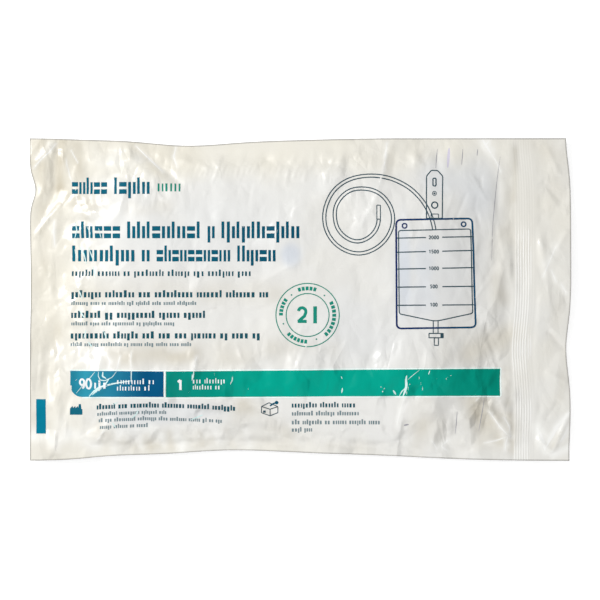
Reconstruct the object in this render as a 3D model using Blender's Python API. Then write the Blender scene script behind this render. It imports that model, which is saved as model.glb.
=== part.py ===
"""Sealed film pouch that holds a folded urine drainage bag, lying printed side up.

One closed solid in metres. +X runs along the pouch towards its sealed mouth, +Y across it towards
the edge that reads as the top of the print, and +Z up. The origin is on the surface that the pouch
lies on, under the middle of its outline.

The pouch starts as a box cut into a fine grid. Its top grid is the printed film and its bottom grid
the plain film. Both are then pressed into the form that the contents, the two end seals and the
folds give them.
"""

import math

import bmesh
import bpy
import numpy as np

MM = 0.001

# Outline of the flat pouch
LENGTH = 265.0 * MM
WIDTH = 158.0 * MM

# The two films lie together along the edges, and part over the contents
PLIES = 0.5 * MM
FULLNESS = 12.5 * MM
EDGE_LIFT = 3.2 * MM
EDGE_WAVE = 1.2 * MM

# Left end: a narrow weld, then the film climbs to the contents
WELD = 9.0 * MM
WELD_CLIMB = 50.0 * MM

# Right end: a loose lip, a ribbed seal bar, then the climb
LIP = 17.5 * MM
SEAL_BAR = 10.0 * MM
SEAL_CLIMB = 50.0 * MM
RIB_COUNT = 8
RIB_HEIGHT = 0.2 * MM

# Long edges: the film is folded there, and climbs over the sides of the contents
FOLD_MARGIN = 2.5 * MM
TOP_CLIMB = 44.0 * MM
BOTTOM_CLIMB = 38.0 * MM

# Form of every climb: the share of it that starts gently, and the power by which it levels out
SOFT_START = 0.22
LEVELLING = 2.4

# Underside: width of the band along the flat resting area in which the plain film lifts
FOOT_BAND = 30.0 * MM

# Pleats of the folded bag, which show as low steps towards the right end
PLEAT_START = 185.0 * MM
PLEAT_PITCH = 14.0 * MM
PLEAT_RISE = 0.4 * MM
PLEAT_COUNT = 4
PLEAT_LEAN = 0.06

# Gathers: short creases that run in from the four edges, so many from each
TOP_GATHER_COUNT = 26
BOTTOM_GATHER_COUNT = 24
LEFT_GATHER_COUNT = 9
RIGHT_GATHER_COUNT = 10
GATHER_HEIGHT = 0.8 * MM
GATHER_HALF_WIDTH = 2.4 * MM
GATHER_RUN = 20.0 * MM
GATHER_SEED = 11

# Printed fields of colour, in distances from the left and lower edges
FIELD_LEFT = 20.0 * MM
FIELD_SPLIT = 65.8 * MM
FIELD_RIGHT = 232.0 * MM
FIELD_BOTTOM = 34.0 * MM
FIELD_HEIGHT = 12.8 * MM
MARK_LEFT = 3.6 * MM
MARK_WIDTH = 4.9 * MM
MARK_BOTTOM = 14.0 * MM
MARK_HEIGHT = 17.0 * MM

# Grid of the films: cells from the left edge to the seal bar, in half a rib, along the lip, across
CELLS_BODY = 55
CELLS_LIP = 5
CELLS_ACROSS = 44

# Where the contents draw an edge inwards: place along the edge, half width and depth.
# Place and half width are shares of the edge.
DRAWN_TOP = ((0.285, 0.10, 3.0 * MM), (0.42, 0.16, 1.2 * MM), (0.12, 0.08, 0.7 * MM))
DRAWN_BOTTOM = ((0.36, 0.16, 4.6 * MM), (0.60, 0.18, 2.6 * MM), (0.16, 0.08, 1.6 * MM))
DRAWN_LEFT = ((0.84, 0.045, 2.7 * MM), (0.55, 0.12, 0.4 * MM))
DRAWN_RIGHT = ((1.00, 0.10, 2.4 * MM), (0.345, 0.10, 2.3 * MM), (0.02, 0.10, 0.9 * MM))

# Folds of the printed film. Each runs from one point to another, given as shares of the length
# and the width from the lower left corner, with its half width and its height. A valley has a
# height below zero.
FOLDS = (
    (0.060, 0.97, 0.088, 0.84, 2.8 * MM, 1.2 * MM),
    (0.080, 0.99, 0.105, 0.86, 3.6 * MM, -1.1 * MM),
    (0.090, 0.62, 0.030, 0.52, 3.2 * MM, 0.9 * MM),
    (0.125, 0.13, 0.060, 0.02, 3.4 * MM, 1.1 * MM),
    (0.190, 0.98, 0.290, 0.83, 3.2 * MM, -1.1 * MM),
    (0.150, 0.98, 0.235, 0.86, 3.8 * MM, 0.9 * MM),
    (0.255, 0.99, 0.275, 0.90, 2.6 * MM, 1.0 * MM),
    (0.662, 0.99, 0.628, 0.77, 3.2 * MM, 1.0 * MM),
    (0.628, 0.80, 0.585, 0.66, 3.0 * MM, 0.8 * MM),
    (0.838, 1.00, 0.862, 0.92, 2.4 * MM, 1.2 * MM),
    (0.905, 0.97, 0.893, 0.76, 3.0 * MM, -1.3 * MM),
    (0.870, 0.78, 0.845, 0.42, 3.8 * MM, 0.9 * MM),
    (0.880, 0.52, 0.862, 0.30, 3.4 * MM, -1.0 * MM),
    (0.705, 0.26, 0.676, 0.05, 2.8 * MM, 1.1 * MM),
    (0.840, 0.17, 0.886, 0.075, 2.8 * MM, 1.3 * MM),
    (0.886, 0.085, 0.800, 0.035, 2.8 * MM, 1.2 * MM),
    (0.865, 0.22, 0.892, 0.09, 3.0 * MM, -1.2 * MM),
    (0.580, 0.11, 0.545, 0.02, 3.0 * MM, 0.9 * MM),
    (0.430, 0.12, 0.470, 0.02, 3.2 * MM, -0.8 * MM),
    (0.250, 0.12, 0.275, 0.02, 3.0 * MM, 0.9 * MM),
    (0.160, 0.36, 0.135, 0.20, 2.8 * MM, 0.8 * MM),
    (0.250, 0.34, 0.240, 0.22, 2.6 * MM, 0.7 * MM),
)

# Soft lumps of the contents: place as shares, half width and height
LUMPS = (
    (0.49, 0.66, 12.0 * MM, 1.2 * MM),
    (0.20, 0.72, 26.0 * MM, 1.0 * MM),
    (0.16, 0.30, 22.0 * MM, 1.3 * MM),
    (0.34, 0.20, 20.0 * MM, 0.8 * MM),
    (0.60, 0.36, 24.0 * MM, -1.2 * MM),
    (0.74, 0.70, 22.0 * MM, 1.0 * MM),
    (0.78, 0.26, 24.0 * MM, 0.9 * MM),
    (0.40, 0.50, 18.0 * MM, -0.9 * MM),
)

# Folds of the two ends, which both films follow together
END_FOLDS = (
    (0.000, 0.88, 0.060, 1.02, 3.0 * MM, 1.6 * MM),
    (0.052, 1.00, 0.030, 0.74, 3.4 * MM, -1.4 * MM),
    (0.070, 0.82, 0.000, 0.68, 3.0 * MM, 1.7 * MM),
    (0.052, 0.70, 0.040, 0.47, 3.2 * MM, -1.1 * MM),
    (0.020, 0.62, 0.014, 0.30, 2.8 * MM, 0.9 * MM),
    (0.060, 0.44, 0.045, 0.18, 3.4 * MM, 1.0 * MM),
    (0.035, 0.30, 0.010, 0.06, 3.0 * MM, -0.9 * MM),
    (0.935, 0.085, 0.966, 0.020, 2.8 * MM, 1.4 * MM),
    (0.966, 0.020, 1.000, 0.160, 3.0 * MM, 1.6 * MM),
    (0.955, 0.34, 0.995, 0.26, 3.6 * MM, 1.2 * MM),
    (0.945, 0.42, 0.990, 0.52, 3.8 * MM, -1.0 * MM),
    (0.950, 0.62, 1.000, 0.56, 3.4 * MM, 1.0 * MM),
    (0.950, 0.74, 0.985, 0.86, 3.6 * MM, -1.1 * MM),
    (0.945, 0.93, 1.000, 0.80, 3.2 * MM, 1.2 * MM),
)


def smooth_step(value):
    """Zero up to 0, one from 1, and a smooth S between, level at both ends."""
    v = np.clip(value, 0.0, 1.0)
    return v * v * v * (v * (6.0 * v - 15.0) + 10.0)


def bell(value, middle, half_width):
    return np.exp(-(((value - middle) / half_width) ** 2))


def drawn_in(share, places):
    """How far an edge is drawn inwards at a share of its length."""
    return sum(depth * bell(share, middle, half) for middle, half, depth in places)


def with_marks(lines, marks):
    """The grid lines, with the nearest one moved onto each mark."""
    for mark in marks:
        lines[np.argmin(np.abs(lines - mark))] = mark
    return lines


def lines_along():
    """Places of the grid lines from left to right: even ones, and two to each rib of the seal bar."""
    seal_start = LENGTH - LIP - SEAL_BAR
    body = np.linspace(0.0, seal_start, CELLS_BODY + 1)
    ribs = np.linspace(seal_start, LENGTH - LIP, 2 * RIB_COUNT + 1)
    lip = np.linspace(LENGTH - LIP, LENGTH, CELLS_LIP + 1)
    lines = np.concatenate((body, ribs[1:], lip[1:]))
    marks = (MARK_LEFT, MARK_LEFT + MARK_WIDTH, FIELD_LEFT, FIELD_SPLIT, FIELD_RIGHT)
    return with_marks(lines, marks)


def lines_across():
    """Places of the grid lines from the lower edge to the upper one."""
    lines = np.linspace(0.0, WIDTH, CELLS_ACROSS + 1)
    marks = (MARK_BOTTOM, MARK_BOTTOM + MARK_HEIGHT, FIELD_BOTTOM, FIELD_BOTTOM + FIELD_HEIGHT)
    return with_marks(lines, marks)


def fold(x, y, entry):
    """A straight fold: a bell across its line, fading out towards both of its ends."""
    s0, t0, s1, t1, half_width, height = entry
    x0, y0 = s0 * LENGTH, t0 * WIDTH
    dx, dy = s1 * LENGTH - x0, t1 * WIDTH - y0
    run = math.hypot(dx, dy)
    along = ((x - x0) * dx + (y - y0) * dy) / run**2
    across = ((x - x0) * dy - (y - y0) * dx) / run
    ends = np.clip(1.0 - (2.0 * along - 1.0) ** 2, 0.0, None)
    return height * np.sqrt(ends) * bell(across, 0.0, half_width)


def gather_folds():
    """Short folds square to the edges, at uneven places, some up and some down."""
    rng = np.random.default_rng(GATHER_SEED)
    counts = {
        "top": TOP_GATHER_COUNT,
        "bottom": BOTTOM_GATHER_COUNT,
        "left": LEFT_GATHER_COUNT,
        "right": RIGHT_GATHER_COUNT,
    }
    entries = []
    for edge, count in counts.items():
        for number in range(count):
            place = (number + rng.uniform(0.15, 0.85)) / count
            start = rng.uniform(0.1, 0.5) * GATHER_RUN
            run = rng.uniform(0.6, 1.2) * GATHER_RUN
            lean = rng.uniform(-0.3, 0.3) * run
            half_width = rng.uniform(0.8, 1.3) * GATHER_HALF_WIDTH
            height = rng.uniform(0.4, 1.0) * GATHER_HEIGHT * rng.choice((-1.0, 1.0))
            if edge in ("top", "bottom"):
                t0, t1 = start / WIDTH, (start + run) / WIDTH
                if edge == "top":
                    t0, t1 = 1.0 - t0, 1.0 - t1
                ends = (place, t0, place + lean / LENGTH, t1)
            else:
                s0, s1 = (WELD + start) / LENGTH, (WELD + start + run) / LENGTH
                if edge == "right":
                    inner = 1.0 - (LIP + SEAL_BAR) / LENGTH
                    s0, s1 = inner - start / LENGTH, inner - (start + run) / LENGTH
                ends = (s0, place, s1, place + lean / WIDTH)
            entries.append((*ends, half_width, height))
    return entries


def swell(distance, climb):
    """Rise of the film with distance from its margin: gentle, then steep, and level after the climb."""
    share = np.clip(distance / climb, 0.0, 1.0)
    soft = (np.hypot(share, SOFT_START) - SOFT_START) / (math.hypot(1.0, SOFT_START) - SOFT_START)
    return 1.0 - (1.0 - soft) ** LEVELLING


def filled(x, y):
    """Share of the full height: zero on the margins, one over the contents."""
    left = swell(x - WELD, WELD_CLIMB)
    right = swell(LENGTH - LIP - SEAL_BAR - x, SEAL_CLIMB)
    bottom = swell(y - FOLD_MARGIN, BOTTOM_CLIMB)
    top = swell(WIDTH - FOLD_MARGIN - y, TOP_CLIMB)
    return left * right * bottom * top


def foot(x, y):
    """One where the underside rests flat, falling to zero along the edges."""
    sides = smooth_step(np.minimum(y, WIDTH - y) / FOOT_BAND)
    ends = smooth_step(np.minimum(x - WELD, LENGTH - LIP - SEAL_BAR - x) / FOOT_BAND)
    return sides * ends


def contents_relief(x, y):
    """The bag's pleats as steps up and down towards the right end, and a few soft lumps."""
    relief = np.zeros_like(x)
    for number in range(PLEAT_COUNT):
        edge = PLEAT_START + number * PLEAT_PITCH - PLEAT_LEAN * y
        step = np.tanh((x - edge) / (0.25 * PLEAT_PITCH))
        relief += PLEAT_RISE * step * (-1) ** number
    for s, t, half_width, height in LUMPS:
        distance = np.hypot(x - s * LENGTH, y - t * WIDTH)
        relief += height * bell(distance, 0.0, half_width)
    return relief


def seal_ribs(x):
    """Height of the pressed ribs, which run across the pouch side by side in the seal bar."""
    along = (x - (LENGTH - LIP - SEAL_BAR)) / SEAL_BAR
    inside = (along >= 0.0) & (along <= 1.0)
    return np.where(inside, 0.5 * RIB_HEIGHT * (1.0 - np.cos(2.0 * math.pi * RIB_COUNT * along)), 0.0)


def edge_height(x, y):
    """Height of the closed films along the margins, over the surface that the pouch lies on."""
    s, t = x / LENGTH, y / WIDTH
    left = np.sin(7.0 * t + 0.8) * bell(s, 0.0, 0.2)
    right = np.sin(10.0 * t + 2.1) * bell(s, 1.0, 0.14)
    sides = np.sin(13.0 * s + 0.4) * (bell(t, 0.0, 0.2) + bell(t, 1.0, 0.2))
    return EDGE_LIFT + EDGE_WAVE * (0.6 * left + 1.0 * right + 0.7 * sides)


def film_heights(x, y):
    """Heights of the plain film under the contents and of the printed film over them."""
    gathers = sum(fold(x, y, entry) for entry in gather_folds())
    ends = sum(fold(x, y, entry) for entry in END_FOLDS)
    closed = np.maximum(edge_height(x, y) + ends + 0.5 * gathers, 0.2 * EDGE_LIFT)
    lower = closed * (1.0 - foot(x, y))
    wrinkles = sum(fold(x, y, entry) for entry in FOLDS) + 0.7 * gathers
    over = filled(x, y)
    rise = over * (FULLNESS + contents_relief(x, y)) + np.sqrt(over) * wrinkles
    return lower, lower + PLIES + np.maximum(rise, 0.0) + seal_ribs(x)


def in_outline(x, y):
    """Place in the drawn-in outline of a point of the flat pouch, by blending its four edges."""
    s, t = x / LENGTH, y / WIDTH
    left = drawn_in(t, DRAWN_LEFT) * (1.0 - s) ** 3
    right = drawn_in(t, DRAWN_RIGHT) * s**3
    bottom = drawn_in(s, DRAWN_BOTTOM) * (1.0 - t) ** 3
    top = drawn_in(s, DRAWN_TOP) * t**3
    return x + left - right, y + bottom - top


def make_material(name, colour, roughness):
    material = bpy.data.materials.new(name)
    material.use_nodes = True
    shader = material.node_tree.nodes["Principled BSDF"]
    shader.inputs["Base Color"].default_value = (*colour, 1.0)
    shader.inputs["Roughness"].default_value = roughness
    shader.inputs["Metallic"].default_value = 0.0
    return material


def gridded_box(cells_long, cells_across):
    """A unit box with its top and bottom cut into a grid, as a bmesh."""
    bm = bmesh.new()
    bmesh.ops.create_cube(bm, size=1.0)
    for axis, cells in ((0, cells_long), (1, cells_across)):
        runs = [
            edge
            for edge in bm.edges
            if abs(edge.verts[0].co[axis] - edge.verts[1].co[axis]) > 0.5
        ]
        bmesh.ops.subdivide_edges(bm, edges=runs, cuts=cells - 1, use_grid_fill=True)
    return bm


def merge_flat_foot(mesh):
    """Joins the faces of the flat resting area into one, because they lie in one plane."""
    bm = bmesh.new()
    bm.from_mesh(mesh)
    flat = [face for face in bm.faces if all(abs(vert.co.z) < 1e-7 for vert in face.verts)]
    bmesh.ops.dissolve_faces(bm, faces=flat)
    bm.to_mesh(mesh)
    bm.free()


def field_of(x, y):
    """Number of the material of a face of the printed film: the plain film, or a printed field."""
    in_band = FIELD_BOTTOM < y < FIELD_BOTTOM + FIELD_HEIGHT
    if in_band and FIELD_LEFT < x < FIELD_SPLIT:
        return 1
    if in_band and FIELD_SPLIT < x < FIELD_RIGHT:
        return 2
    in_mark = MARK_BOTTOM < y < MARK_BOTTOM + MARK_HEIGHT
    if in_mark and MARK_LEFT < x < MARK_LEFT + MARK_WIDTH:
        return 1
    return 0


def make_pouch(collection):
    columns, rows = lines_along(), lines_across()
    bm = gridded_box(len(columns) - 1, len(rows) - 1)
    mesh = bpy.data.meshes.new("sealed_pouch")
    bm.to_mesh(mesh)
    bm.free()

    unit = np.empty(len(mesh.vertices) * 3)
    mesh.vertices.foreach_get("co", unit)
    unit = unit.reshape(-1, 3)
    flat_x = columns[np.rint((unit[:, 0] + 0.5) * (len(columns) - 1)).astype(int)]
    flat_y = rows[np.rint((unit[:, 1] + 0.5) * (len(rows) - 1)).astype(int)]

    lower, upper = film_heights(flat_x, flat_y)
    z = np.where(unit[:, 2] > 0.0, upper, lower)
    x, y = in_outline(flat_x, flat_y)
    x -= 0.5 * (x.min() + x.max())
    y -= 0.5 * (y.min() + y.max())

    for face in mesh.polygons:
        corners = list(face.vertices)
        if unit[corners, 2].min() > 0.0:
            face.material_index = field_of(flat_x[corners].mean(), flat_y[corners].mean())

    mesh.vertices.foreach_set("co", np.column_stack((x, y, z)).astype(np.float32).ravel())
    mesh.update()
    merge_flat_foot(mesh)

    mesh.materials.append(make_material("white_film", (0.80, 0.79, 0.74), 0.35))
    mesh.materials.append(make_material("blue_field", (0.01, 0.15, 0.28), 0.35))
    mesh.materials.append(make_material("green_field", (0.01, 0.32, 0.24), 0.35))
    mesh.shade_smooth()
    mesh.set_sharp_from_angle(angle=math.radians(50.0))
    pouch = bpy.data.objects.new("sealed_pouch", mesh)
    collection.objects.link(pouch)
    return pouch


def main():
    for old in list(bpy.data.objects):
        bpy.data.objects.remove(old, do_unlink=True)
    collection = bpy.data.collections.new("packed_drainage_bag")
    bpy.context.scene.collection.children.link(collection)
    make_pouch(collection)


main()
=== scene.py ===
"""Sealed film pouch of a urine drainage bag: its film, print, finish, floor, light and camera.

Lengths are in metres in the frame's axes: +X runs along the pouch to its ribbed seal, +Y across it
to the upper edge of the print, and +Z up. A place on the film is also given in flat film
coordinates, which count from the left and the lower edge of the pouch as it was before it was
filled. A place in the photograph is given in its pixels, with y counted downwards.
"""

import math

import bpy
import numpy as np
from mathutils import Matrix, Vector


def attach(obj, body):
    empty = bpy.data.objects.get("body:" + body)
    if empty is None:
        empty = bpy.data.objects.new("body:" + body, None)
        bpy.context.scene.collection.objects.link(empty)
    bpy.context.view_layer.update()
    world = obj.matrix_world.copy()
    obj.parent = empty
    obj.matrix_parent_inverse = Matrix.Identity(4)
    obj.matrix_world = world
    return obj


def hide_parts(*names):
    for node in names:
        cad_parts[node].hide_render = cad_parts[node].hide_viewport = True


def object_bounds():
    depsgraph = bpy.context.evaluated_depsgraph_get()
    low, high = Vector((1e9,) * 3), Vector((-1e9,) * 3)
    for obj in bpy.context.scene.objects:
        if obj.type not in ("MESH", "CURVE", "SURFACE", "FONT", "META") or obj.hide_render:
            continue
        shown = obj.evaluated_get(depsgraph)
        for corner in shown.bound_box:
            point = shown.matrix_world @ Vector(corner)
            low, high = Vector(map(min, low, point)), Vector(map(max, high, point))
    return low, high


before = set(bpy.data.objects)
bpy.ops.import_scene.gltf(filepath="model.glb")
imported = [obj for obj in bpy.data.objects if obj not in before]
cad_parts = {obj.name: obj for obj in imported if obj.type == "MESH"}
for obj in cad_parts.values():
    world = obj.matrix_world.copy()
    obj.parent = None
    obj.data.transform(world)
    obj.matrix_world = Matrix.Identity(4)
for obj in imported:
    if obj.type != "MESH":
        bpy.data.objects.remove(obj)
cad_low, cad_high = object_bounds()

MM = 0.001
# The photograph, in pixels: its side, the middle of the pouch and the pouch's length
PHOTO_SIZE = 600
PHOTO_CENTRE = (300.5, 299.5)
PHOTO_LENGTH = 541.0
CAMERA_DISTANCE = 1.8

# The pouch: its outline comes from the frame, and its zones are those of the solid. FULLNESS is the
# height of its contents, and each climb is the way over which the film rises to them
LENGTH, WIDTH = (cad_high - cad_low).xy
PIXEL = LENGTH / PHOTO_LENGTH
PLIES = 0.4 * MM
FULLNESS = 12.5 * MM
EDGE_LIFT = 3.2 * MM
EDGE_WAVE = 1.2 * MM
WELD = 9.0 * MM
WELD_CLIMB = 50.0 * MM
LIP = 17.5 * MM
SEAL_BAR = 10.0 * MM
SEAL_CLIMB = 50.0 * MM
SOFT_START = 0.22
LEVELLING = 2.4
FOLD_MARGIN = 2.5 * MM
TOP_CLIMB = 44.0 * MM
BOTTOM_CLIMB = 38.0 * MM
FOOT_BAND = 30.0 * MM
SEAL_START = LENGTH - LIP - SEAL_BAR

# Pressed ribs of the seal. They lose FAINT_RIBS of their height over two short ways: past a share
# of the width, and past a share of the bar
RIB_COUNT = 8
RIB_HEIGHT = 0.16 * MM
FAINT_RIBS = 0.75
FAINT_ACROSS = (0.66, 0.12)
FAINT_ALONG = (0.72, 0.10)
SEAL_FADE = 3.0 * MM
# How white the painted highlights on their crests are, and the size of the runs they show in
RIB_HIGHLIGHT = 0.9
RIB_HIGHLIGHT_RUNS = 17.0 * MM

# Seeds of the random draws and of the slow noises
SEED = {
    "cloth": 5,
    "glints": 12,
    "gathers": 21,
    "body_facets": 31,
    "end_facets": 47,
    "warm": 61,
    "warm_fine": 62,
    "fold_shade": 65,
    "glow": 68,
    "short_creases": 77,
    "rib_highlights": 91,
}

# How far the contents draw each edge inwards: share along the edge, half width as a share, depth
DRAWN_TOP = ((0.285, 0.10, 3.0 * MM), (0.42, 0.16, 1.2 * MM), (0.12, 0.08, 0.7 * MM))
DRAWN_BOTTOM = ((0.36, 0.16, 4.6 * MM), (0.60, 0.18, 2.6 * MM), (0.16, 0.08, 1.6 * MM))
DRAWN_LEFT = ((0.84, 0.045, 2.7 * MM), (0.55, 0.12, 0.4 * MM))
DRAWN_RIGHT = ((1.00, 0.10, 2.4 * MM), (0.345, 0.10, 2.3 * MM), (0.02, 0.10, 0.9 * MM))

# Soft lumps of the contents under the film: shares of length and width, half width, height
LUMPS = (
    (0.49, 0.66, 12.0 * MM, 1.2 * MM),
    (0.20, 0.72, 26.0 * MM, 1.0 * MM),
    (0.16, 0.30, 22.0 * MM, 1.3 * MM),
    (0.34, 0.20, 20.0 * MM, 0.8 * MM),
    (0.60, 0.36, 24.0 * MM, -1.2 * MM),
    (0.74, 0.70, 22.0 * MM, 1.0 * MM),
    (0.78, 0.26, 24.0 * MM, 0.9 * MM),
    (0.40, 0.50, 18.0 * MM, -0.9 * MM),
)

# Creases of the printed film, between pixels of the photograph: x0, y0, x1, y1, half width, height
CREASES = (
    (387, 143, 384, 170, 1.5 * MM, 0.9 * MM),
    (384, 168, 371, 208, 1.5 * MM, 0.7 * MM),
    (372, 204, 359, 227, 1.4 * MM, 0.6 * MM),
    (396, 150, 392, 176, 1.8 * MM, -0.5 * MM),
    (484, 139, 495, 160, 1.5 * MM, 1.1 * MM),
    (495, 158, 505, 178, 1.6 * MM, 0.6 * MM),
    (500, 150, 493, 252, 2.0 * MM, -0.6 * MM),
    (437, 146, 438, 172, 1.0 * MM, -0.35 * MM),
    (448, 146, 449, 170, 1.0 * MM, -0.35 * MM),
    (463, 148, 462, 170, 1.0 * MM, -0.35 * MM),
    (478, 148, 476, 172, 1.0 * MM, -0.35 * MM),
    (410, 383, 404, 402, 1.4 * MM, 0.8 * MM),
    (404, 400, 397, 442, 1.5 * MM, 0.7 * MM),
    (101, 352, 98, 372, 1.4 * MM, 0.9 * MM),
    (98, 368, 99, 384, 1.2 * MM, 0.8 * MM),
    (110, 383, 88, 398, 1.3 * MM, 0.9 * MM),
    (131, 352, 131, 384, 1.2 * MM, 0.7 * MM),
    (117, 362, 109, 382, 1.1 * MM, 0.5 * MM),
    (93, 370, 75, 394, 1.2 * MM, 0.5 * MM),
    (196, 358, 192, 381, 1.3 * MM, 0.8 * MM),
    (233, 375, 230, 385, 0.9 * MM, 0.5 * MM),
    (84, 222, 88, 262, 1.3 * MM, 0.5 * MM),
    (97, 216, 94, 300, 1.4 * MM, 0.5 * MM),
    (80, 285, 90, 352, 1.6 * MM, 0.5 * MM),
    (110, 290, 104, 350, 1.5 * MM, -0.5 * MM),
    (125, 180, 118, 215, 1.6 * MM, 0.6 * MM),
    (278, 225, 272, 262, 1.3 * MM, 0.5 * MM),
    (300, 262, 262, 282, 1.6 * MM, 0.5 * MM),
    (190, 335, 168, 350, 1.4 * MM, 0.4 * MM),
    (507, 420, 507, 450, 1.4 * MM, 0.9 * MM),
    (507, 435, 490, 445, 1.4 * MM, 0.8 * MM),
    (507, 435, 486, 405, 1.6 * MM, 0.8 * MM),
    (507, 435, 516, 400, 1.6 * MM, -0.8 * MM),
    (457, 412, 455, 435, 1.3 * MM, -0.5 * MM),
    (481, 395, 479, 432, 1.3 * MM, -0.5 * MM),
    (470, 420, 462, 452, 1.6 * MM, 0.7 * MM),
    (438, 425, 430, 452, 1.6 * MM, 0.6 * MM),
    (330, 436, 322, 452, 1.6 * MM, 0.5 * MM),
    (250, 432, 244, 450, 1.6 * MM, 0.6 * MM),
    (196, 426, 204, 450, 1.6 * MM, 0.7 * MM),
    (160, 430, 150, 452, 1.7 * MM, -0.6 * MM),
    (110, 418, 92, 452, 1.8 * MM, 0.8 * MM),
    (85, 425, 88, 450, 1.6 * MM, -0.6 * MM),
    (133, 143, 184, 186, 2.4 * MM, -0.9 * MM),
    (118, 146, 150, 176, 2.2 * MM, 0.7 * MM),
    (165, 148, 196, 166, 1.8 * MM, 0.6 * MM),
    (226, 146, 214, 166, 1.6 * MM, 0.5 * MM),
    (262, 144, 268, 164, 1.6 * MM, -0.5 * MM),
    (300, 143, 292, 164, 1.6 * MM, 0.5 * MM),
    (345, 142, 338, 178, 1.8 * MM, 0.6 * MM),
    (418, 140, 414, 168, 1.7 * MM, 0.5 * MM),
    (505, 250, 488, 330, 2.2 * MM, 0.7 * MM),
    (492, 200, 506, 262, 2.0 * MM, 0.6 * MM),
    (484, 318, 500, 372, 2.0 * MM, -0.7 * MM),
    (505, 345, 486, 388, 1.8 * MM, 0.7 * MM),
    (518, 155, 514, 202, 1.8 * MM, -0.8 * MM),
)

# Folds of the two ends, which both films follow together, in the same form
END_FOLDS = (
    (34, 168, 56, 138, 2.2 * MM, 1.3 * MM),
    (58, 144, 44, 216, 2.4 * MM, -1.2 * MM),
    (62, 150, 71, 182, 2.0 * MM, 0.9 * MM),
    (61, 204, 34, 238, 2.2 * MM, 1.3 * MM),
    (48, 150, 38, 200, 2.0 * MM, 0.9 * MM),
    (40, 236, 46, 268, 1.8 * MM, -0.7 * MM),
    (52, 250, 48, 330, 2.2 * MM, 0.8 * MM),
    (60, 300, 58, 392, 2.2 * MM, -0.7 * MM),
    (42, 345, 39, 396, 2.0 * MM, 0.6 * MM),
    (62, 400, 52, 456, 2.4 * MM, 0.9 * MM),
    (536, 437, 552, 453, 1.6 * MM, 1.2 * MM),
    (552, 453, 570, 411, 1.8 * MM, 1.4 * MM),
    (545, 420, 560, 400, 1.8 * MM, -0.8 * MM),
    (540, 236, 551, 316, 2.6 * MM, 0.9 * MM),
    (556, 250, 568, 230, 2.2 * MM, 0.9 * MM),
    (548, 330, 566, 352, 2.2 * MM, -1.1 * MM),
    (545, 372, 568, 382, 2.2 * MM, 0.9 * MM),
    (543, 180, 563, 205, 2.4 * MM, -0.9 * MM),
    (546, 146, 560, 176, 2.2 * MM, 0.9 * MM),
)

# Grid of the film: cell size and cells to a rib
CELL = 0.78 * MM
CELLS_IN_RIB = 5

# The film as cloth, on a coarser grid and ten times the size: how far its flat sheet is longer and
# wider than its outline, how high and how wide apart its first bumps are, how far it starts over
# the base, how far the contents lie under the base inside the pouch and at its margins, and how far
# it may move from the base
CLOTH_CELL = 4.0 * MM
CLOTH_SCALE = 10.0
CLOTH_FRAMES = 50
SPARE_LONG = 1.025
SPARE_ACROSS = 1.045
BUMP_HEIGHT = 1.2 * MM
BUMP_SIZE = 15.0 * MM
CLOTH_START = 0.4 * MM
CONTENTS_UNDER = (1.0 * MM, 2.5 * MM)
CLOTH_REACH = 2.2 * MM
CLOTH_GAP = 0.003
CLOTH_GRAVITY = 0.3
CLOTH_SETTINGS = {
    "quality": 5,
    "mass": 0.05,
    "tension_stiffness": 15.0,
    "compression_stiffness": 15.0,
    "shear_stiffness": 5.0,
    "bending_stiffness": 5.0,
    "bending_damping": 0.5,
}

# Crushed film: size of the facets, the turn of their lattice and their height. How far they are
# drawn out across the pouch, and how far slow noise pushes their lattice, in cells
CRUSH = ((10.5 * MM, 0.25, 1.05 * MM), (5.8 * MM, -0.5, 0.45 * MM))
FACET_SQUASH = 0.6
FACET_PUSH = 0.32

# Shares of the full height at which the wrinkles of the printed film are whole and those of the
# closed margins are gone, and how much the seal bar flattens the latter
WRINKLED_FROM = 0.15
MARGIN_UPTO = 0.3
SEAL_FLATTENS = 0.75

# Facets too small for the grid, given to the finish: size of the cells and steepest slope. Their
# turn, how far they are drawn out, how far slow noise pushes them and how fine it is, the size of
# their patches in cells, and the values of noise between which a patch fades in
CRINKLES = ((12.0 * MM, 0.36), (5.8 * MM, 0.28), (2.8 * MM, 0.14))
CRINKLE_TURN = 0.2
CRINKLE_SQUASH = 0.62
CRINKLE_PUSH = 8.0 * MM
CRINKLE_DRIFT = 60.0
CRINKLE_PATCH = 0.4
CRINKLE_FADE = (0.40, 0.60)

# Smoother areas of the film, in pixels: left, top, right, bottom and how calm each is
CALM = (
    (100, 200, 455, 350, 0.6),
    (186, 134, 342, 163, 0.95),
    (342, 134, 442, 200, 0.35),
    (170, 165, 320, 216, 0.65),
    (440, 130, 512, 250, 0.60),
    (444, 236, 514, 366, 0.45),
    (534, 138, 572, 460, 0.40),
    (66, 398, 288, 452, 0.15),
    (286, 396, 400, 436, 0.60),
)
CALM_EDGE = 16.0 * MM
# Share of the cloth's wrinkles that a wholly calm place takes away
CALM_CLOTH = 0.9

# Where short creases are scattered, in pixels, with their number and their usual direction
SCATTER = (
    (64, 150, 190, 215, 26, 100.0),
    (190, 165, 330, 222, 14, 70.0),
    (330, 145, 425, 240, 16, 100.0),
    (440, 150, 508, 260, 16, 95.0),
    (455, 260, 510, 372, 22, 80.0),
    (380, 345, 480, 445, 16, 75.0),
    (470, 396, 512, 450, 18, 70.0),
    (240, 425, 400, 450, 16, 85.0),
    (70, 410, 245, 450, 24, 80.0),
    (66, 215, 110, 400, 22, 85.0),
    (110, 340, 250, 400, 18, 90.0),
    (110, 225, 320, 340, 14, 60.0),
    (255, 330, 400, 372, 9, 80.0),
)
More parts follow.
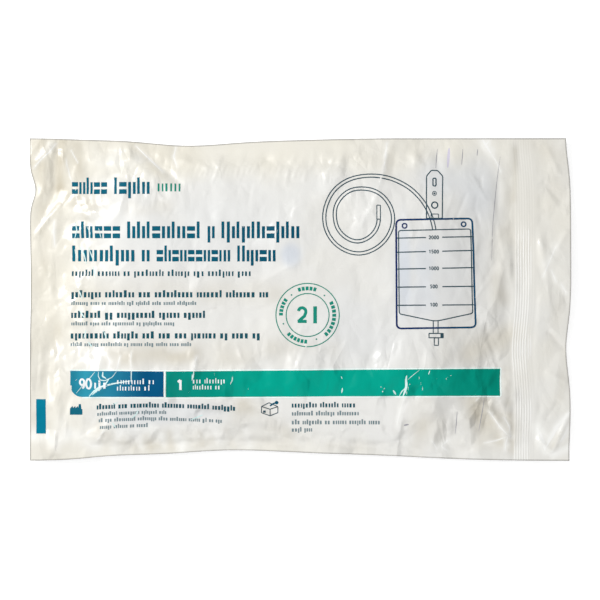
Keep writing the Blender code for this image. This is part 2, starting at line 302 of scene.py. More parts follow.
# How far their direction strays, their length in pixels, their half width and height in
# millimetres, and the turn, length and height of a fork as against its crease
SHORT_STRAY = 28.0
SHORT_RUN = (9.0, 34.0)
SHORT_HALF_WIDTH = (0.55, 1.0)
SHORT_HEIGHT = (0.12, 0.5)
FORK_TURN = (30.0, 65.0)
FORK_RUN = 0.6
FORK_HEIGHT = 0.8

# Short gathers along the upper edge of the folded bag, in pixels: first, last and pitch, their
# usual top, how far it strays, their lean and their length. Their half width, and their height in
# millimetres
GATHERS = (184.0, 342.0, 5.2)
GATHER_TOP = 162.0
GATHER_STRAY = (-3.0, 5.0)
GATHER_LEAN = (2.0, 7.0)
GATHER_DROP = (9.0, 18.0)
GATHER_HALF_WIDTH = 0.8 * MM
GATHER_HEIGHT = (0.25, 0.55)

# Creamy margins: the box of the cooler middle in pixels (left, low, right, high), and how softly
# its left, right and long edges fade. The size and depth of the two slow noises over it
COOL_BOX = (92, 440, 500, 172)
COOL_FADE = (40.0 * MM, 30.0 * MM, 20.0 * MM)
WARM_BROAD = (24.0 * MM, 0.18)
WARM_FINE = (9.0 * MM, 0.10)
# Size and depth of the slow noise in the painted shade of folds and doubled film, and in the
# painted highlights on its lit facets
FOLD_SHADE_NOISE = (8.0 * MM, 0.5)
GLOW_NOISE = (6.0 * MM, 0.6)

# Painted shade of folds and of film lying doubled, in pixels: ends of a soft stroke, its half width
# and depth
FOLD_SHADE = (
    (64, 141, 60, 190, 6.0, 0.50),
    (59, 144, 61, 160, 4.0, 0.36),
    (62, 200, 36, 232, 5.0, 0.14),
    (72, 196, 92, 206, 8.0, 0.26),
    (82, 206, 86, 220, 4.0, 0.22),
    (58, 190, 38, 228, 6.0, 0.45),
    (38, 140, 33, 160, 9.0, 0.30),
    (77, 146, 80, 176, 6.0, 0.30),
    (44, 150, 38, 205, 5.0, 0.25),
    (76, 192, 86, 224, 3.0, 0.16),
    (134, 146, 172, 186, 4.5, 0.24),
    (132, 207, 166, 207, 9.0, 0.20),
    (46, 238, 42, 300, 5.0, 0.15),
    (56, 330, 54, 392, 5.0, 0.16),
    (40, 420, 60, 452, 9.0, 0.14),
    (112, 359, 190, 357, 9.0, 0.45),
    (44, 150, 44, 440, 24.0, 0.20),
    (74, 152, 186, 152, 14.0, 0.20),
    (90, 289, 300, 293, 13.0, 0.20),
    (110, 348, 330, 350, 12.0, 0.20),
    (470, 398, 500, 436, 12.0, 0.42),
    (244, 404, 284, 436, 12.0, 0.34),
    (76, 206, 112, 204, 8.0, 0.16),
    (108, 434, 134, 447, 6.0, 0.22),
    (196, 446, 212, 440, 4.0, 0.20),
    (556, 434, 549, 446, 3.0, 0.30),
    (330, 444, 372, 448, 5.0, 0.14),
    (100, 420, 92, 442, 4.0, 0.20),
    (146, 436, 152, 450, 4.0, 0.24),
    (170, 432, 172, 448, 3.0, 0.24),
    (199, 432, 203, 446, 3.0, 0.20),
    (226, 430, 234, 447, 4.0, 0.24),
    (140, 443, 172, 449, 6.0, 0.28),
    (98, 430, 106, 448, 5.0, 0.16),
    (392, 152, 388, 176, 6.0, 0.14),
    (508, 165, 512, 240, 6.0, 0.17),
    (500, 232, 496, 310, 8.0, 0.15),
    (470, 352, 505, 338, 14.0, 0.42),
    (455, 330, 440, 364, 8.0, 0.20),
    (488, 396, 480, 440, 10.0, 0.32),
    (430, 402, 415, 445, 8.0, 0.18),
    (544, 150, 556, 196, 9.0, 0.11),
    (560, 300, 548, 350, 7.0, 0.12),
    (566, 352, 560, 398, 5.0, 0.15),
    (510, 415, 512, 452, 4.0, 0.25),
    (506, 370, 508, 402, 5.0, 0.30),
    (515, 150, 514, 200, 3.0, 0.25),
    (524, 140, 560, 156, 12.0, 0.14),
    (498, 280, 506, 300, 8.0, 0.16),
    (200, 359, 250, 361, 8.0, 0.18),
    (425, 424, 496, 422, 18.0, 0.20),
    (240, 412, 240, 432, 11.0, 0.16),
    (552, 446, 562, 430, 3.0, 0.22),
)

# What shows through the film, in pixels: middle of a soft spot, its half widths and depth
SHOWN = (
    (291, 255, 11, 12, 0.42),
    (436, 272, 42, 58, 0.12),
    (403, 266, 8, 50, 0.34),
    (424, 262, 10, 24, 0.16),
    (421, 300, 16, 18, 0.14),
    (440, 175, 22, 20, 0.20),
    (478, 185, 20, 36, 0.20),
    (210, 235, 90, 40, 0.08),
    (160, 413, 66, 13, 0.20),
    (350, 330, 60, 40, 0.10),
)

# Film bent more sharply than this, in turns of the slope to a metre, starts to whiten: partly
# stress whitening, partly painted highlight
RIDGE_BEND = 230.0

# Painted highlights along creases over the print, drawn as lines of bared film, in pixels: path and
# width
INK_CREASE_HIGHLIGHTS = (
    (((76.0, 393.4), (83.0, 385.0), (90.0, 378.0), (95.4, 371.6)), 0.8),
    (((88.6, 396.8), (94.0, 391.0), (99.6, 387.2), (112.0, 384.0), (131.4, 380.8)), 1.8),
    (((92.0, 395.0), (97.0, 390.4), (101.0, 388.6)), 1.4),
    (
        (
            (98.6, 371.4), (98.4, 376.0), (100.4, 380.0), (105.0, 380.8), (112.0, 377.4),
            (116.4, 371.4),
        ),
        0.9,
    ),
    (((103.0, 371.4), (102.6, 376.4), (106.4, 378.6)), 1.5),
    (((131.6, 370.8), (131.2, 376.0), (131.5, 381.4)), 0.8),
    (((101.0, 386.8), (105.0, 384.8), (109.4, 378.4)), 1.3),
    (((193.8, 372.2), (192.6, 377.0), (191.8, 380.6)), 1.4),
    (((232.8, 377.2), (231.2, 383.2)), 0.9),
    (((420.0, 369.8), (413.0, 375.4), (408.0, 380.0)), 0.6),
    (((406.8, 375.6), (406.2, 380.0), (406.6, 386.0), (405.0, 392.0), (403.0, 396.6)), 2.4),
    (((405.6, 388.0), (402.0, 391.6), (399.4, 396.4)), 1.0),
    (((393.2, 390.4), (396.0, 394.8)), 1.7),
    (((342.6, 388.0), (341.8, 393.4)), 1.3),
    (((341.2, 376.4), (342.4, 379.4)), 0.8),
    (((430.0, 370.6), (428.6, 374.6)), 1.0),
    (((75.0, 222.0), (77.0, 230.0), (74.4, 239.0)), 1.1),
    (((86.0, 225.0), (90.0, 233.0), (88.0, 240.0)), 0.8),
    (((98.4, 228.0), (101.0, 239.0)), 0.8),
    (((79.0, 246.0), (83.6, 254.0), (86.0, 264.6)), 1.2),
    (((88.0, 247.0), (93.6, 262.0)), 1.0),
    (((74.6, 249.0), (76.4, 261.0)), 0.8),
    (((92.6, 267.0), (95.4, 277.0)), 1.0),
    (((78.8, 290.0), (82.2, 299.0)), 1.2),
    (((79.0, 310.0), (85.0, 318.6)), 1.4),
    (((86.0, 330.0), (84.0, 339.0)), 1.0),
    (((103.0, 330.4), (106.6, 339.4)), 0.9),
    (((88.0, 342.0), (92.0, 347.0)), 1.4),
    (((112.0, 405.0), (118.0, 402.0)), 0.8),
    (((131.0, 419.0), (136.0, 414.0), (138.0, 410.0)), 1.4),
    (((190.0, 420.0), (203.0, 415.0)), 1.2),
    (((112.0, 422.6), (116.0, 427.6)), 1.2),
)

# Edges of the fields that show pale, in pixels
FIELD_EDGES = (
    (70.0, 370.1, 164.0, 370.9),
    (164.0, 370.9, 500.8, 368.1),
    (82.0, 397.7, 163.6, 397.8),
    (165.4, 397.9, 500.8, 396.5),
    (164.6, 371.6, 164.6, 397.4),
    (500.8, 368.6, 501.0, 396.0),
)

# Creases where the film is stretched white, with painted highlights along them, in pixels: path and
# width
WHITENED_AND_LIT_CREASES = (
    (((387.0, 143.0), (385.4, 156.0), (383.6, 170.0)), 1.6),
    (((384.0, 168.0), (378.0, 190.0), (371.0, 208.0), (361.0, 225.0)), 1.3),
    (((482.6, 139.6), (487.0, 147.0), (491.0, 153.4)), 3.2),
    (((489.0, 141.0), (485.0, 146.0)), 2.0),
    (((491.0, 153.0), (497.0, 163.0), (501.0, 172.0)), 1.0),
    (((404.4, 398.0), (401.0, 408.0), (398.6, 418.0), (397.0, 426.0)), 2.2),
    (((408.0, 401.0), (404.0, 412.0)), 1.2),
    (((101.0, 350.0), (99.4, 360.0), (99.0, 370.0)), 2.0),
    (((106.0, 354.0), (110.0, 362.0), (108.0, 369.0)), 1.6),
    (((131.4, 352.0), (130.6, 361.0), (131.6, 370.0)), 1.0),
    (((120.0, 356.0), (117.0, 368.0)), 1.2),
    (((196.6, 357.0), (194.4, 365.0), (193.6, 371.0)), 2.0),
    (((84.6, 352.0), (88.0, 362.0), (87.0, 369.0)), 1.4),
    (((508.0, 435.6), (500.0, 427.0), (489.0, 411.0)), 1.4),
    (((508.0, 435.6), (505.6, 443.0), (505.0, 450.0)), 1.6),
    (((508.0, 436.0), (497.0, 440.0), (484.0, 443.0)), 0.9),
    (((510.0, 434.0), (509.0, 426.0), (504.0, 417.0)), 1.0),
    (((511.0, 437.0), (508.6, 434.6)), 3.2),
    (((536.6, 427.0), (540.6, 435.0), (543.4, 443.0), (545.0, 451.0)), 4.2),
    (((545.0, 448.0), (551.0, 438.0), (557.0, 427.0), (564.0, 419.0)), 3.2),
    (((557.0, 427.0), (563.0, 421.0), (569.4, 412.0)), 2.0),
    (((560.0, 442.0), (565.0, 434.0), (568.0, 428.0)), 2.6),
    (((441.0, 446.0), (446.0, 442.6), (448.6, 439.6)), 1.8),
    (((441.0, 446.0), (447.0, 450.6)), 2.6),
    (((432.0, 441.0), (437.0, 449.0)), 1.2),
    (((34.4, 168.0), (41.0, 160.0), (50.0, 152.0), (56.0, 143.6)), 1.2),
    (((61.0, 196.0), (52.0, 208.0), (43.0, 221.0), (35.0, 233.0)), 1.0),
    (((54.4, 221.0), (54.0, 232.0), (55.0, 246.0)), 1.4),
    (((66.0, 159.0), (70.0, 176.0), (76.0, 196.0), (80.0, 212.0)), 0.7),
    (((71.0, 150.0), (78.0, 163.0)), 0.7),
    (((136.0, 146.0), (150.0, 160.0), (163.0, 172.0)), 1.6),
    (((176.0, 147.0), (173.6, 157.0), (177.0, 167.0)), 1.2),
    (((556.0, 246.0), (549.0, 262.0), (543.0, 277.0)), 1.4),
    (((551.0, 270.0), (556.0, 282.0)), 1.2),
    (((561.0, 284.0), (566.0, 293.0)), 1.4),
)
# Share of its given width at which a crease is drawn
CREASE_LINE = 0.75

# Painted highlights on lit facets of the film, in pixels: ends of a stroke, half width and depth
LIT_FACETS = (
    (36, 436, 62, 444, 9.0, 0.45),
    (62, 424, 96, 446, 9.0, 0.42),
    (176, 430, 184, 450, 6.0, 0.55),
    (150, 426, 160, 436, 5.0, 0.30),
    (214, 428, 220, 442, 4.0, 0.35),
    (120, 432, 114, 448, 4.0, 0.42),
    (136, 432, 141, 446, 3.6, 0.40),
    (161, 434, 164, 446, 3.4, 0.40),
    (246, 430, 250, 446, 4.0, 0.40),
    (262, 434, 300, 440, 6.0, 0.26),
    (538, 430, 543, 450, 3.0, 0.80),
    (547, 442, 556, 427, 2.6, 0.80),
    (556, 427, 568, 414, 2.4, 0.80),
    (562, 440, 569, 430, 2.6, 0.60),
    (553, 455, 568, 448, 5.0, 0.55),
    (100, 158, 138, 160, 11.0, 0.34),
    (40, 158, 52, 146, 5.0, 0.30),
    (48, 214, 38, 228, 4.0, 0.20),
    (546, 264, 556, 246, 5.0, 0.30),
    (486, 142, 492, 150, 4.0, 0.40),
    (502, 434, 508, 444, 3.0, 0.50),
)

# Glints on the ribs, in pixels: their places along the pouch and the runs that they lie in. The
# shares of a run at which they start and over which they go, and their width
RIB_PIXELS = (518.0, 520.6, 523.2, 525.8, 528.4, 530.8)
GLINT_RUNS = ((226.0, 300.0), (384.0, 452.0), (330.0, 378.0))
GLINT_START = (0.0, 0.35)
GLINT_LENGTH = (0.4, 0.65)
GLINT_WIDTH = (0.5, 0.9)

# Pleats of the folded bag, seen through the film, in pixels: path and width
PLEATS = (
    (((437.4, 148.6), (436.6, 158.0), (435.8, 168.6)), 0.75),
    (((462.8, 148.6), (462.4, 157.0), (461.6, 165.0)), 0.7),
    (((477.8, 149.0), (477.0, 156.0)), 0.8),
    (((500.4, 156.0), (498.0, 172.0), (495.4, 196.0), (492.6, 225.0), (491.4, 262.0)), 0.5),
    (((457.2, 411.0), (456.6, 422.0), (455.4, 434.0)), 0.8),
    (((484.6, 398.0), (482.6, 412.0), (478.6, 432.0)), 0.7),
    (((403.8, 425.4), (409.0, 424.4)), 1.5),
)
LILAC_PLEAT = (((449.2, 147.6), (448.6, 156.0), (447.8, 168.0)), 2.6)

# Faces that meet at more than this angle are shaded with an edge
SHARP_ANGLE = math.radians(50.0)

# Print lies this high over the film, and reaches this far into it
INK = 0.07 * MM
INK_CELL = 0.7 * MM

# Line drawing of the bag, in pixels. A shape is its corners, their radius and the line's width
BAG_WALL = (((396.2, 219.9), (472.4, 218.3), (475.9, 327.4), (396.9, 328.6)), 5.0, 1.8)
BAG_WELD = (
    (
        (398.6, 230.6), (470.8, 228.9), (472.9, 313.4), (438.4, 320.8), (433.3, 320.9),
        (399.4, 313.9),
    ),
    2.4,
    1.05,
)
HANGER = (
    (
        (426.5, 218.4), (426.7, 176.0), (431.4, 170.4), (437.8, 170.4), (442.9, 176.0),
        (442.4, 218.4),
    ),
    1.4,
    1.05,
)
# Its boxes: left, top, right, bottom, radius of the corners and width of the line
BAG_BOXES = (
    (429.1, 333.5, 443.4, 337.8, 0.4, 1.0),
    (434.4, 338.0, 438.6, 345.4, 0.4, 0.9),
    (433.1, 178.2, 436.2, 186.0, 1.4, 1.2),
    (431.2, 214.0, 438.6, 218.6, 0.5, 0.8),
    (376.9, 205.1, 380.5, 219.0, 0.6, 0.9),
)
# Its circles: middle, radius and width of the line
BAG_EYES = ((404.7, 225.8, 2.3, 1.4), (463.9, 224.1, 2.3, 1.4))
HANGER_HOLES = ((434.6, 193.3, 2.0, 0.7), (434.8, 205.1, 3.1, 1.3))
HANGER_DOT = (434.6, 193.3, 0.9)
# Its straight lines: ends and width, and the plain end of the valve
OUTLET_WALLS = ((433.4, 321.0, 433.4, 333.4, 0.9), (438.2, 321.0, 438.2, 333.4, 0.9))
VALVE_END = (440.6, 333.9, 443.2, 337.4)
# Its scale: left and right height of each line, and its figures
BAG_SCALE = (
    (238.1, 236.6, "2000"),
    (252.3, 250.4, "1500"),
    (269.1, 267.6, "1000"),
    (287.2, 286.3, "500"),
    (305.4, 304.8, "100"),
)
SCALE_RUN = 77.0
SCALE_LINE = 1.1
# Left and right part of each line: its ends, and the way along the line at which its slope is read
SCALE_PARTS = ((396.6, 0.0, 426.0, 29.0), (442.4, 46.0, 474.0, 77.0))
# Figures of the scale: middle of the number, pitch, height of their tops over the line, size, line
SCALE_MIDDLE = 434.2
SCALE_PITCH = 2.6
SCALE_RISE = 2.4
SCALE_FIGURE = (2.0, 3.3, 0.75)

# Drawn tube, in pixels: middle of its coil, radius at some turns in degrees, and its two lines
COIL_MIDDLE = (358.0, 215.0)
COIL = (
    (11.0, 21.1), (91.0, 26.7), (172.6, 23.0), (225.0, 24.2), (283.8, 27.2), (364.8, 35.5),
    (449.0, 38.7), (534.0, 33.8), (562.0, 33.0), (601.0, 35.0), (617.0, 36.5), (631.0, 38.2),
    (649.0, 41.4), (664.0, 45.9), (680.0, 52.2), (703.4, 63.6), (715.8, 70.5), (731.5, 78.0),
)
COIL_STEP = 3.0
COIL_WINDOW = 15
COIL_END_SLOPE = 1.5
TUBE_SIDES = (-1.6, 1.6)
TUBE_LINE = 1.05

# Ring of the volume, in pixels: middle, two circles, blocks between them (radii, and for each run
# its first and last turn in degrees and its count), dots, and a plain figure with a bar
RING_MIDDLE = (307.6, 315.1)
RING_CIRCLES = (31.7, 21.5)
RING_LINE = 0.95
RING_BLOCKS = (24.8, 28.6)
BLOCK_SHARES = (0.14, 0.5, 0.86)
BLOCK_RUNS = ((112.0, 70.0, 5), (31.0, -50.0, 9), (-90.0, -138.0, 6), (182.0, 142.0, 5))
DOT_TURNS = (128.7, 49.4, 199.7, -69.9)
DOT_PLACE = 25.8
DOT_RADIUS = 0.8
RING_FIGURE = ("2", 297.4, 307.8, 9.8, 14.4, 3.1)
RING_BAR = (313.3, 306.4, 316.9, 323.4)

# Printed fields, in pixels: left and right end, upper edge at both, lower edge at both, columns
BLUE_FIELD = ((70.4, 163.5), (370.8, 371.6), (397.0, 397.0), 60)
BLUE_CORNER = 11.5
GREEN_FIELD = ((165.8, 500.0), (371.6, 368.8), (397.2, 395.8), 210)
SIDE_MARK = (36.4, 399.0, 46.0, 433.5)
EDGE_LINE = 1.15
# White print on them. Figures: sign, left, top, width, height and stroke
WHITE_FIGURES = (
    ("9", 79.4, 379.0, 5.6, 9.6, 2.0),
    ("0", 85.8, 379.0, 5.8, 9.6, 2.0),
    ("1", 176.8, 380.2, 6.4, 9.6, 2.3),
)

# Rows of plain bars in groups as long as words, in pixels. Rows of given groups: their ends, top,
# base and seed, and for the last two the share of each bar in its pitch
HEAD_ROWS = (
    (((72.0, 108.0), (114.0, 151.0)), 177.5, 194.0, 80),
    (((72.0, 121.4), (127.0, 202.0), (207.5, 216.0), (221.4, 301.0)), 221.5, 238.2, 81),
    (((72.0, 136.0), (141.6, 151.0), (156.4, 231.4), (237.2, 277.0)), 245.5, 261.4, 82),
)
ACCENT_ROW = (((157.6, 182.6),), 180.5, 191.5, 83, 0.42)
ACCENT_PITCH = 0.5
UNIT_ROW = (((94.4, 108.6),), 380.4, 388.6, 71, 0.42)
# Rows of random groups: left, right, top, base, seed, share of each bar in its pitch, and whether
# the row follows the bend of the film under the blue field
WHITE_ROWS = (
    (117.0, 155.4, 378.8, 384.2, 72, 0.38, False),
    (117.0, 151.0, 385.4, 390.6, 73, 0.38, False),
    (192.8, 226.4, 378.2, 383.4, 74, 0.38, False),
    (192.8, 221.0, 384.6, 389.4, 75, 0.38, False),
)
BOLD_ROWS = (
    (71.6, 252.2, 269.6, 276.0, 87, 0.50, False),
    (71.4, 269.6, 290.2, 297.4, 84, 0.62, False),
    (71.4, 206.0, 310.8, 318.0, 85, 0.62, False),
    (71.0, 261.2, 331.4, 338.6, 86, 0.62, False),
    (96.4, 236.0, 404.2, 409.6, 88, 0.66, True),
    (291.8, 356.4, 402.2, 407.6, 89, 0.58, False),
)
LIGHT_ROWS = (
    (71.6, 196.8, 301.0, 305.0, 90, 0.62, False),
    (71.4, 174.8, 321.4, 325.4, 91, 0.62, False),
    (70.6, 191.8, 342.2, 346.2, 92, 0.62, False),
    (97.0, 166.8, 412.1, 415.9, 93, 0.62, True),
    (98.6, 222.6, 418.4, 422.4, 94, 0.62, True),
    (100.0, 148.4, 425.0, 429.0, 95, 0.62, True),
    (291.8, 359.6, 411.0, 415.6, 96, 0.62, False),
    (291.8, 380.6, 419.6, 424.4, 97, 0.62, False),
    (291.8, 312.8, 427.2, 431.6, 98, 0.62, False),
)
# That bend: where it starts, half its wave and its height
BEND = (96.0, 118.0, 2.2)
# Shares of a letter's height: body of a letter, its tail, and the pitch of plain bars
BODY = 0.72
TAIL = 0.26
PITCH = 0.75

# Works building, in pixels: left and right end, base, top and pitch of its saw roof, chimney
WORKS = (70.2, 82.4, 414.6)
WORKS_COLUMNS = 25
ROOF = (408.4, 2.6)
CHIMNEY = (78.6, 81.0, 404.0, 409.0)
# Parcel with an arrow, in pixels
PARCEL_FACES = (
    ((261.4, 406.4), (270.0, 409.2), (270.0, 415.6), (261.4, 412.6)),
    ((270.0, 409.2), (277.8, 406.6), (277.8, 412.6), (270.0, 415.6)),
    ((261.4, 406.4), (269.0, 402.8), (277.8, 406.6), (270.0, 409.2)),
)
PARCEL_LINE = (0.5, 0.8)
PARCEL_LABEL = (263.0, 410.4, 265.6, 412.6)
ARROW = (((270.0, 273.0, 276.4), (405.8, 403.8, 402.6)), 1.5)
ARROW_TIP = (276.6, 402.6, 1.8)

# Finish of the film and of the ink on it: least and greatest roughness, how fine the noise is that
# it drifts with and the values of noise that give these two, the sheen and coat of the film, the
# sheen of the ink, and how fine its colour drifts
FILM_ROUGHNESS = (0.31, 0.45)
ROUGHNESS_SCALE = 90.0
ROUGHNESS_NOISE = (0.35, 0.65)
FILM_SHEEN = 0.42
FILM_COAT = (0.3, 0.16)
INK_SHEEN = 0.03
INK_DRIFT = 60.0

# Tones as linear colours. The film's own tone is turned to each of the next by its attribute
FILM_TONE = (0.775, 0.770, 0.742)
FILM_TURNS = {
    "warmth": (0.795, 0.765, 0.675),
    "show_through": (0.52, 0.60, 0.74),
    # Painted shade of folds, painted shade in valleys, pale crests with painted highlights, painted
    # shade along the outer edge
    "fold_shade": (0.58, 0.53, 0.42),
    "valley_shade": (0.62, 0.59, 0.52),
    "whitening_and_highlight": (0.93, 0.93, 0.90),
    "cut_edge_shade": (0.24, 0.23, 0.21),
}
# Inks and fine lines of one colour each, which drifts between two tones
PLAIN_INKS = {
    "deep_ink": ((0.012, 0.070, 0.100), (0.016, 0.095, 0.125)),
    "grey_ink": ((0.040, 0.085, 0.105), (0.025, 0.060, 0.085)),
    "pale_grey_ink": ((0.150, 0.220, 0.245), (0.200, 0.260, 0.280)),
    "mark_ink": ((0.002, 0.190, 0.290), (0.002, 0.175, 0.275)),
    "ring_ink": ((0.010, 0.265, 0.190), (0.020, 0.220, 0.165)),
    "white_ink": ((0.84, 0.86, 0.86), (0.80, 0.83, 0.84)),
    "pleat_shade": ((0.30, 0.30, 0.34), (0.42, 0.41, 0.43)),
    "lilac_shade": ((0.60, 0.57, 0.70), (0.66, 0.63, 0.72)),
    # Painted highlights along creases over the print
    "crease_highlight_ink": ((0.78, 0.88, 0.87), (0.50, 0.76, 0.74)),
    "pale_edge": ((0.90, 0.97, 0.95), (0.80, 0.95, 0.92)),
    # Creases stretched white, with painted highlights
    "stretched_and_lit_film": ((0.93, 0.93, 0.91), (0.84, 0.83, 0.80)),
}
# Inks that change along the pouch: a pixel and the tone there
GRADED_INKS = {
    "teal_ink": ((71, (0.008, 0.125, 0.190)), (300, (0.003, 0.075, 0.130))),
    "navy_ink": ((396, (0.012, 0.025, 0.110)), (476, (0.012, 0.070, 0.140))),
    "blue_ink": (
        (70, (0.016, 0.200, 0.295)),
        (86, (0.030, 0.285, 0.395)),
        (146, (0.002, 0.082, 0.195)),
    ),
    "green_ink": (
        (166, (0.002, 0.245, 0.195)),
        (222, (0.001, 0.265, 0.200)),
        (246, (0.001, 0.350, 0.258)),
        (390, (0.001, 0.350, 0.258)),
        (500, (0.001, 0.250, 0.180)),
    ),
}

# Floor and light: half the floor's side, how far it lies under the pouch, its tone, its glow to the
# camera, the strength of the surroundings, and the place, side and power of each lamp
FLOOR_HALF = 3.0
FLOOR_DROP = 0.2 * MM
FLOOR_TONE = 0.80
FLOOR_GLOW = 0.55
SURROUNDINGS = 0.415
LAMPS = {
    "key_lamp": ((-0.75, 0.42, 0.83), 0.30, 9.9),
    "fill_lamp": ((0.26, -0.80, 0.95), 0.7, 4.2),
}
# Width of the camera's sensor, in millimetres
SENSOR = 36.0


def bell(value, middle, half_width):
    """Bell curve: exp(-((value - middle) / half width)^2)."""
    return np.exp(-(((value - middle) / half_width) ** 2))


def smooth_step(value):
    """Zero up to 0, one from 1, and 6v^5 - 15v^4 + 10v^3 between."""
    v = np.clip(value, 0.0, 1.0)
    return v * v * v * (v * (6.0 * v - 15.0) + 10.0)


def swell(distance, climb):
    """Rise with distance from a margin: gentle at first, then steep, and level after the climb.

    With u the share of the climb and e its soft start, s is hypot(u, e) - e over hypot(1, e) - e,
    and the rise is one minus 1 - s to a power.
    """
    share = np.clip(distance / climb, 0.0, 1.0)
    whole = math.hypot(1.0, SOFT_START) - SOFT_START
    soft = (np.hypot(share, SOFT_START) - SOFT_START) / whole
    return 1.0 - (1.0 - soft) ** LEVELLING


def filled(x, y):
    """Share of the full height: the product of the four climbs."""
    ends = swell(x - WELD, WELD_CLIMB) * swell(SEAL_START - x, SEAL_CLIMB)
    sides = swell(y - FOLD_MARGIN, BOTTOM_CLIMB) * swell(WIDTH - FOLD_MARGIN - y, TOP_CLIMB)
    return ends * sides


def foot(x, y):
    """One where the underside rests flat, falling to zero along the edges by two S curves."""
    sides = smooth_step(np.minimum(y, WIDTH - y) / FOOT_BAND)
    ends = smooth_step(np.minimum(x - WELD, SEAL_START - x) / FOOT_BAND)
    return sides * ends


def edge_height(x, y):
    """Height of the closed films along the margins: a constant and slow sines along each edge."""
    s, t = x / LENGTH, y / WIDTH
    left = np.sin(7.0 * t + 0.8) * bell(s, 0.0, 0.2)
    right = np.sin(10.0 * t + 2.1) * bell(s, 1.0, 0.14)
    sides = np.sin(13.0 * s + 0.4) * (bell(t, 0.0, 0.2) + bell(t, 1.0, 0.2))
    return EDGE_LIFT + EDGE_WAVE * (0.6 * left + 1.0 * right + 0.7 * sides)


def drawn_in(share, places):
    """How far an edge is drawn inwards at a share of its length: a sum of bells."""
    return sum(depth * bell(share, middle, half) for middle, half, depth in places)


def in_outline(x, y):
    """Place in plan of a flat film point: each edge's inward draw fades by a cube across it."""
    s, t = x / LENGTH, y / WIDTH
    left = drawn_in(t, DRAWN_LEFT) * (1.0 - s) ** 3
    right = drawn_in(t, DRAWN_RIGHT) * s**3
    bottom = drawn_in(s, DRAWN_BOTTOM) * (1.0 - t) ** 3
    top = drawn_in(s, DRAWN_TOP) * t**3
    return x + left - right + cad_low.x, y + bottom - top + cad_low.y


def flat_place(px, py):
    """Flat film coordinates of photograph pixels: the outline map is undone in a few steps."""
    px, py = np.asarray(px, float), np.asarray(py, float)
    target_x = (px - PHOTO_CENTRE[0]) * PIXEL
    target_y = (PHOTO_CENTRE[1] - py) * PIXEL
    x, y = target_x - cad_low.x, target_y - cad_low.y
    for _ in range(6):
        rise = FULLNESS * filled(x, y)
        nearer = 1.0 - rise / CAMERA_DISTANCE
        seen_x, seen_y = in_outline(x, y)
        x = x + target_x * nearer - seen_x
        y = y + target_y * nearer - seen_y
    return x, y


def crease(x, y, entry):
    """A fold between two pixels: a pointed ridge across its line, fading out at both ends."""
    x0, y0 = flat_place(entry[0], entry[1])
    x1, y1 = flat_place(entry[2], entry[3])
    half_width, height = entry[4:]
    run = math.hypot(x1 - x0, y1 - y0)
    along = ((x - x0) * (x1 - x0) + (y - y0) * (y1 - y0)) / run**2
    across = ((x - x0) * (y1 - y0) - (y - y0) * (x1 - x0)) / run
    ends = np.sqrt(np.clip(1.0 - (2.0 * along - 1.0) ** 4, 0.0, None))
    pointed = np.exp(-np.sqrt(across**2 + (0.2 * half_width) ** 2) / (0.8 * half_width))
    return height * ends * pointed


def creases(x, y, entries):
    """Sum of the folds in a table."""
    return sum(crease(x, y, entry) for entry in entries)


def value_noise(x, y, size, seed):
    """Smooth random field: seeded lattice values, blended between lattice points by S curves."""
    lattice = np.random.default_rng(seed).uniform(-1.0, 1.0, (256, 256))
    u, v = x / size + 64.0, y / size + 64.0
    i, j = np.floor(u).astype(int), np.floor(v).astype(int)
    fu, fv = smooth_step(u - i), smooth_step(v - j)
    i, j = i % 255, j % 255
    low = lattice[i, j] * (1.0 - fu) + lattice[i + 1, j] * fu
    high = lattice[i, j + 1] * (1.0 - fu) + lattice[i + 1, j + 1] * fu
    return low * (1.0 - fv) + high * fv


def facets(x, y, size, seed):
    """Flat facets: random heights at lattice points, and straight slopes between three of them.

    The lattice is pushed about by slow noise, and each of its cells is cut in two by one or the
    other diagonal, so the creases between the facets run in all directions.
    """
    rng = np.random.default_rng(seed)
    heights = rng.uniform(-1.0, 1.0, (256, 256))
    turned = rng.uniform(size=(256, 256)) < 0.5
    u = x / size + 100.0 + FACET_PUSH * value_noise(x, y, 1.7 * size, seed + 1)
    v = y / size + 100.0 + FACET_PUSH * value_noise(x, y, 1.7 * size, seed + 2)
    i, j = np.floor(u).astype(int), np.floor(v).astype(int)
    fu, fv = u - i, v - j
    i, j = i % 255, j % 255
    a, b, c, d = heights[i, j], heights[i + 1, j], heights[i, j + 1], heights[i + 1, j + 1]
    rising = np.where(fu > fv, a + (b - a) * fu + (d - b) * fv, a + (c - a) * fv + (d - c) * fu)
    over = a + (b - a) * fu + (c - a) * fv
    under = d + (c - d) * (1.0 - fu) + (b - d) * (1.0 - fv)
    falling = np.where(fu + fv < 1.0, over, under)
    return np.where(turned[i, j], rising, falling)


def crushed(x, y, seed):
    """Crushed film: facets of two sizes, drawn out across the pouch and turned a little."""
    total = np.zeros_like(x)
    for size, turn, height in CRUSH:
        u = x * math.cos(turn) + y * math.sin(turn)
        v = y * math.cos(turn) - x * math.sin(turn)
        total += height * facets(u, FACET_SQUASH * v, size, seed)
        seed += 3
    return total


def soft_box(value, low, high, low_fade, high_fade):
    """One between two places and zero outside, by an S curve across each of them."""
    entering = smooth_step((value - low) / low_fade + 0.5)
    return entering * smooth_step((high - value) / high_fade + 0.5)


def calm(x, y):
    """How smooth the film is: a few boxes with soft edges, the greatest of them at each place."""
    calmest = np.zeros_like(x)
    for left, top, right, bottom, strength in CALM:
        x0, y0 = flat_place(left, bottom)
        x1, y1 = flat_place(right, top)
        inside = soft_box(x, x0, x1, CALM_EDGE, CALM_EDGE)
        inside = inside * soft_box(y, y0, y1, CALM_EDGE, CALM_EDGE)
        calmest = np.maximum(calmest, strength * inside)
    return calmest


def contents_relief(x, y):
    """Soft lumps of the contents: a sum of round bells."""
    return sum(
        height * bell(np.hypot(x - s * LENGTH, y - t * WIDTH), 0.0, half_width)
        for s, t, half_width, height in LUMPS
    )


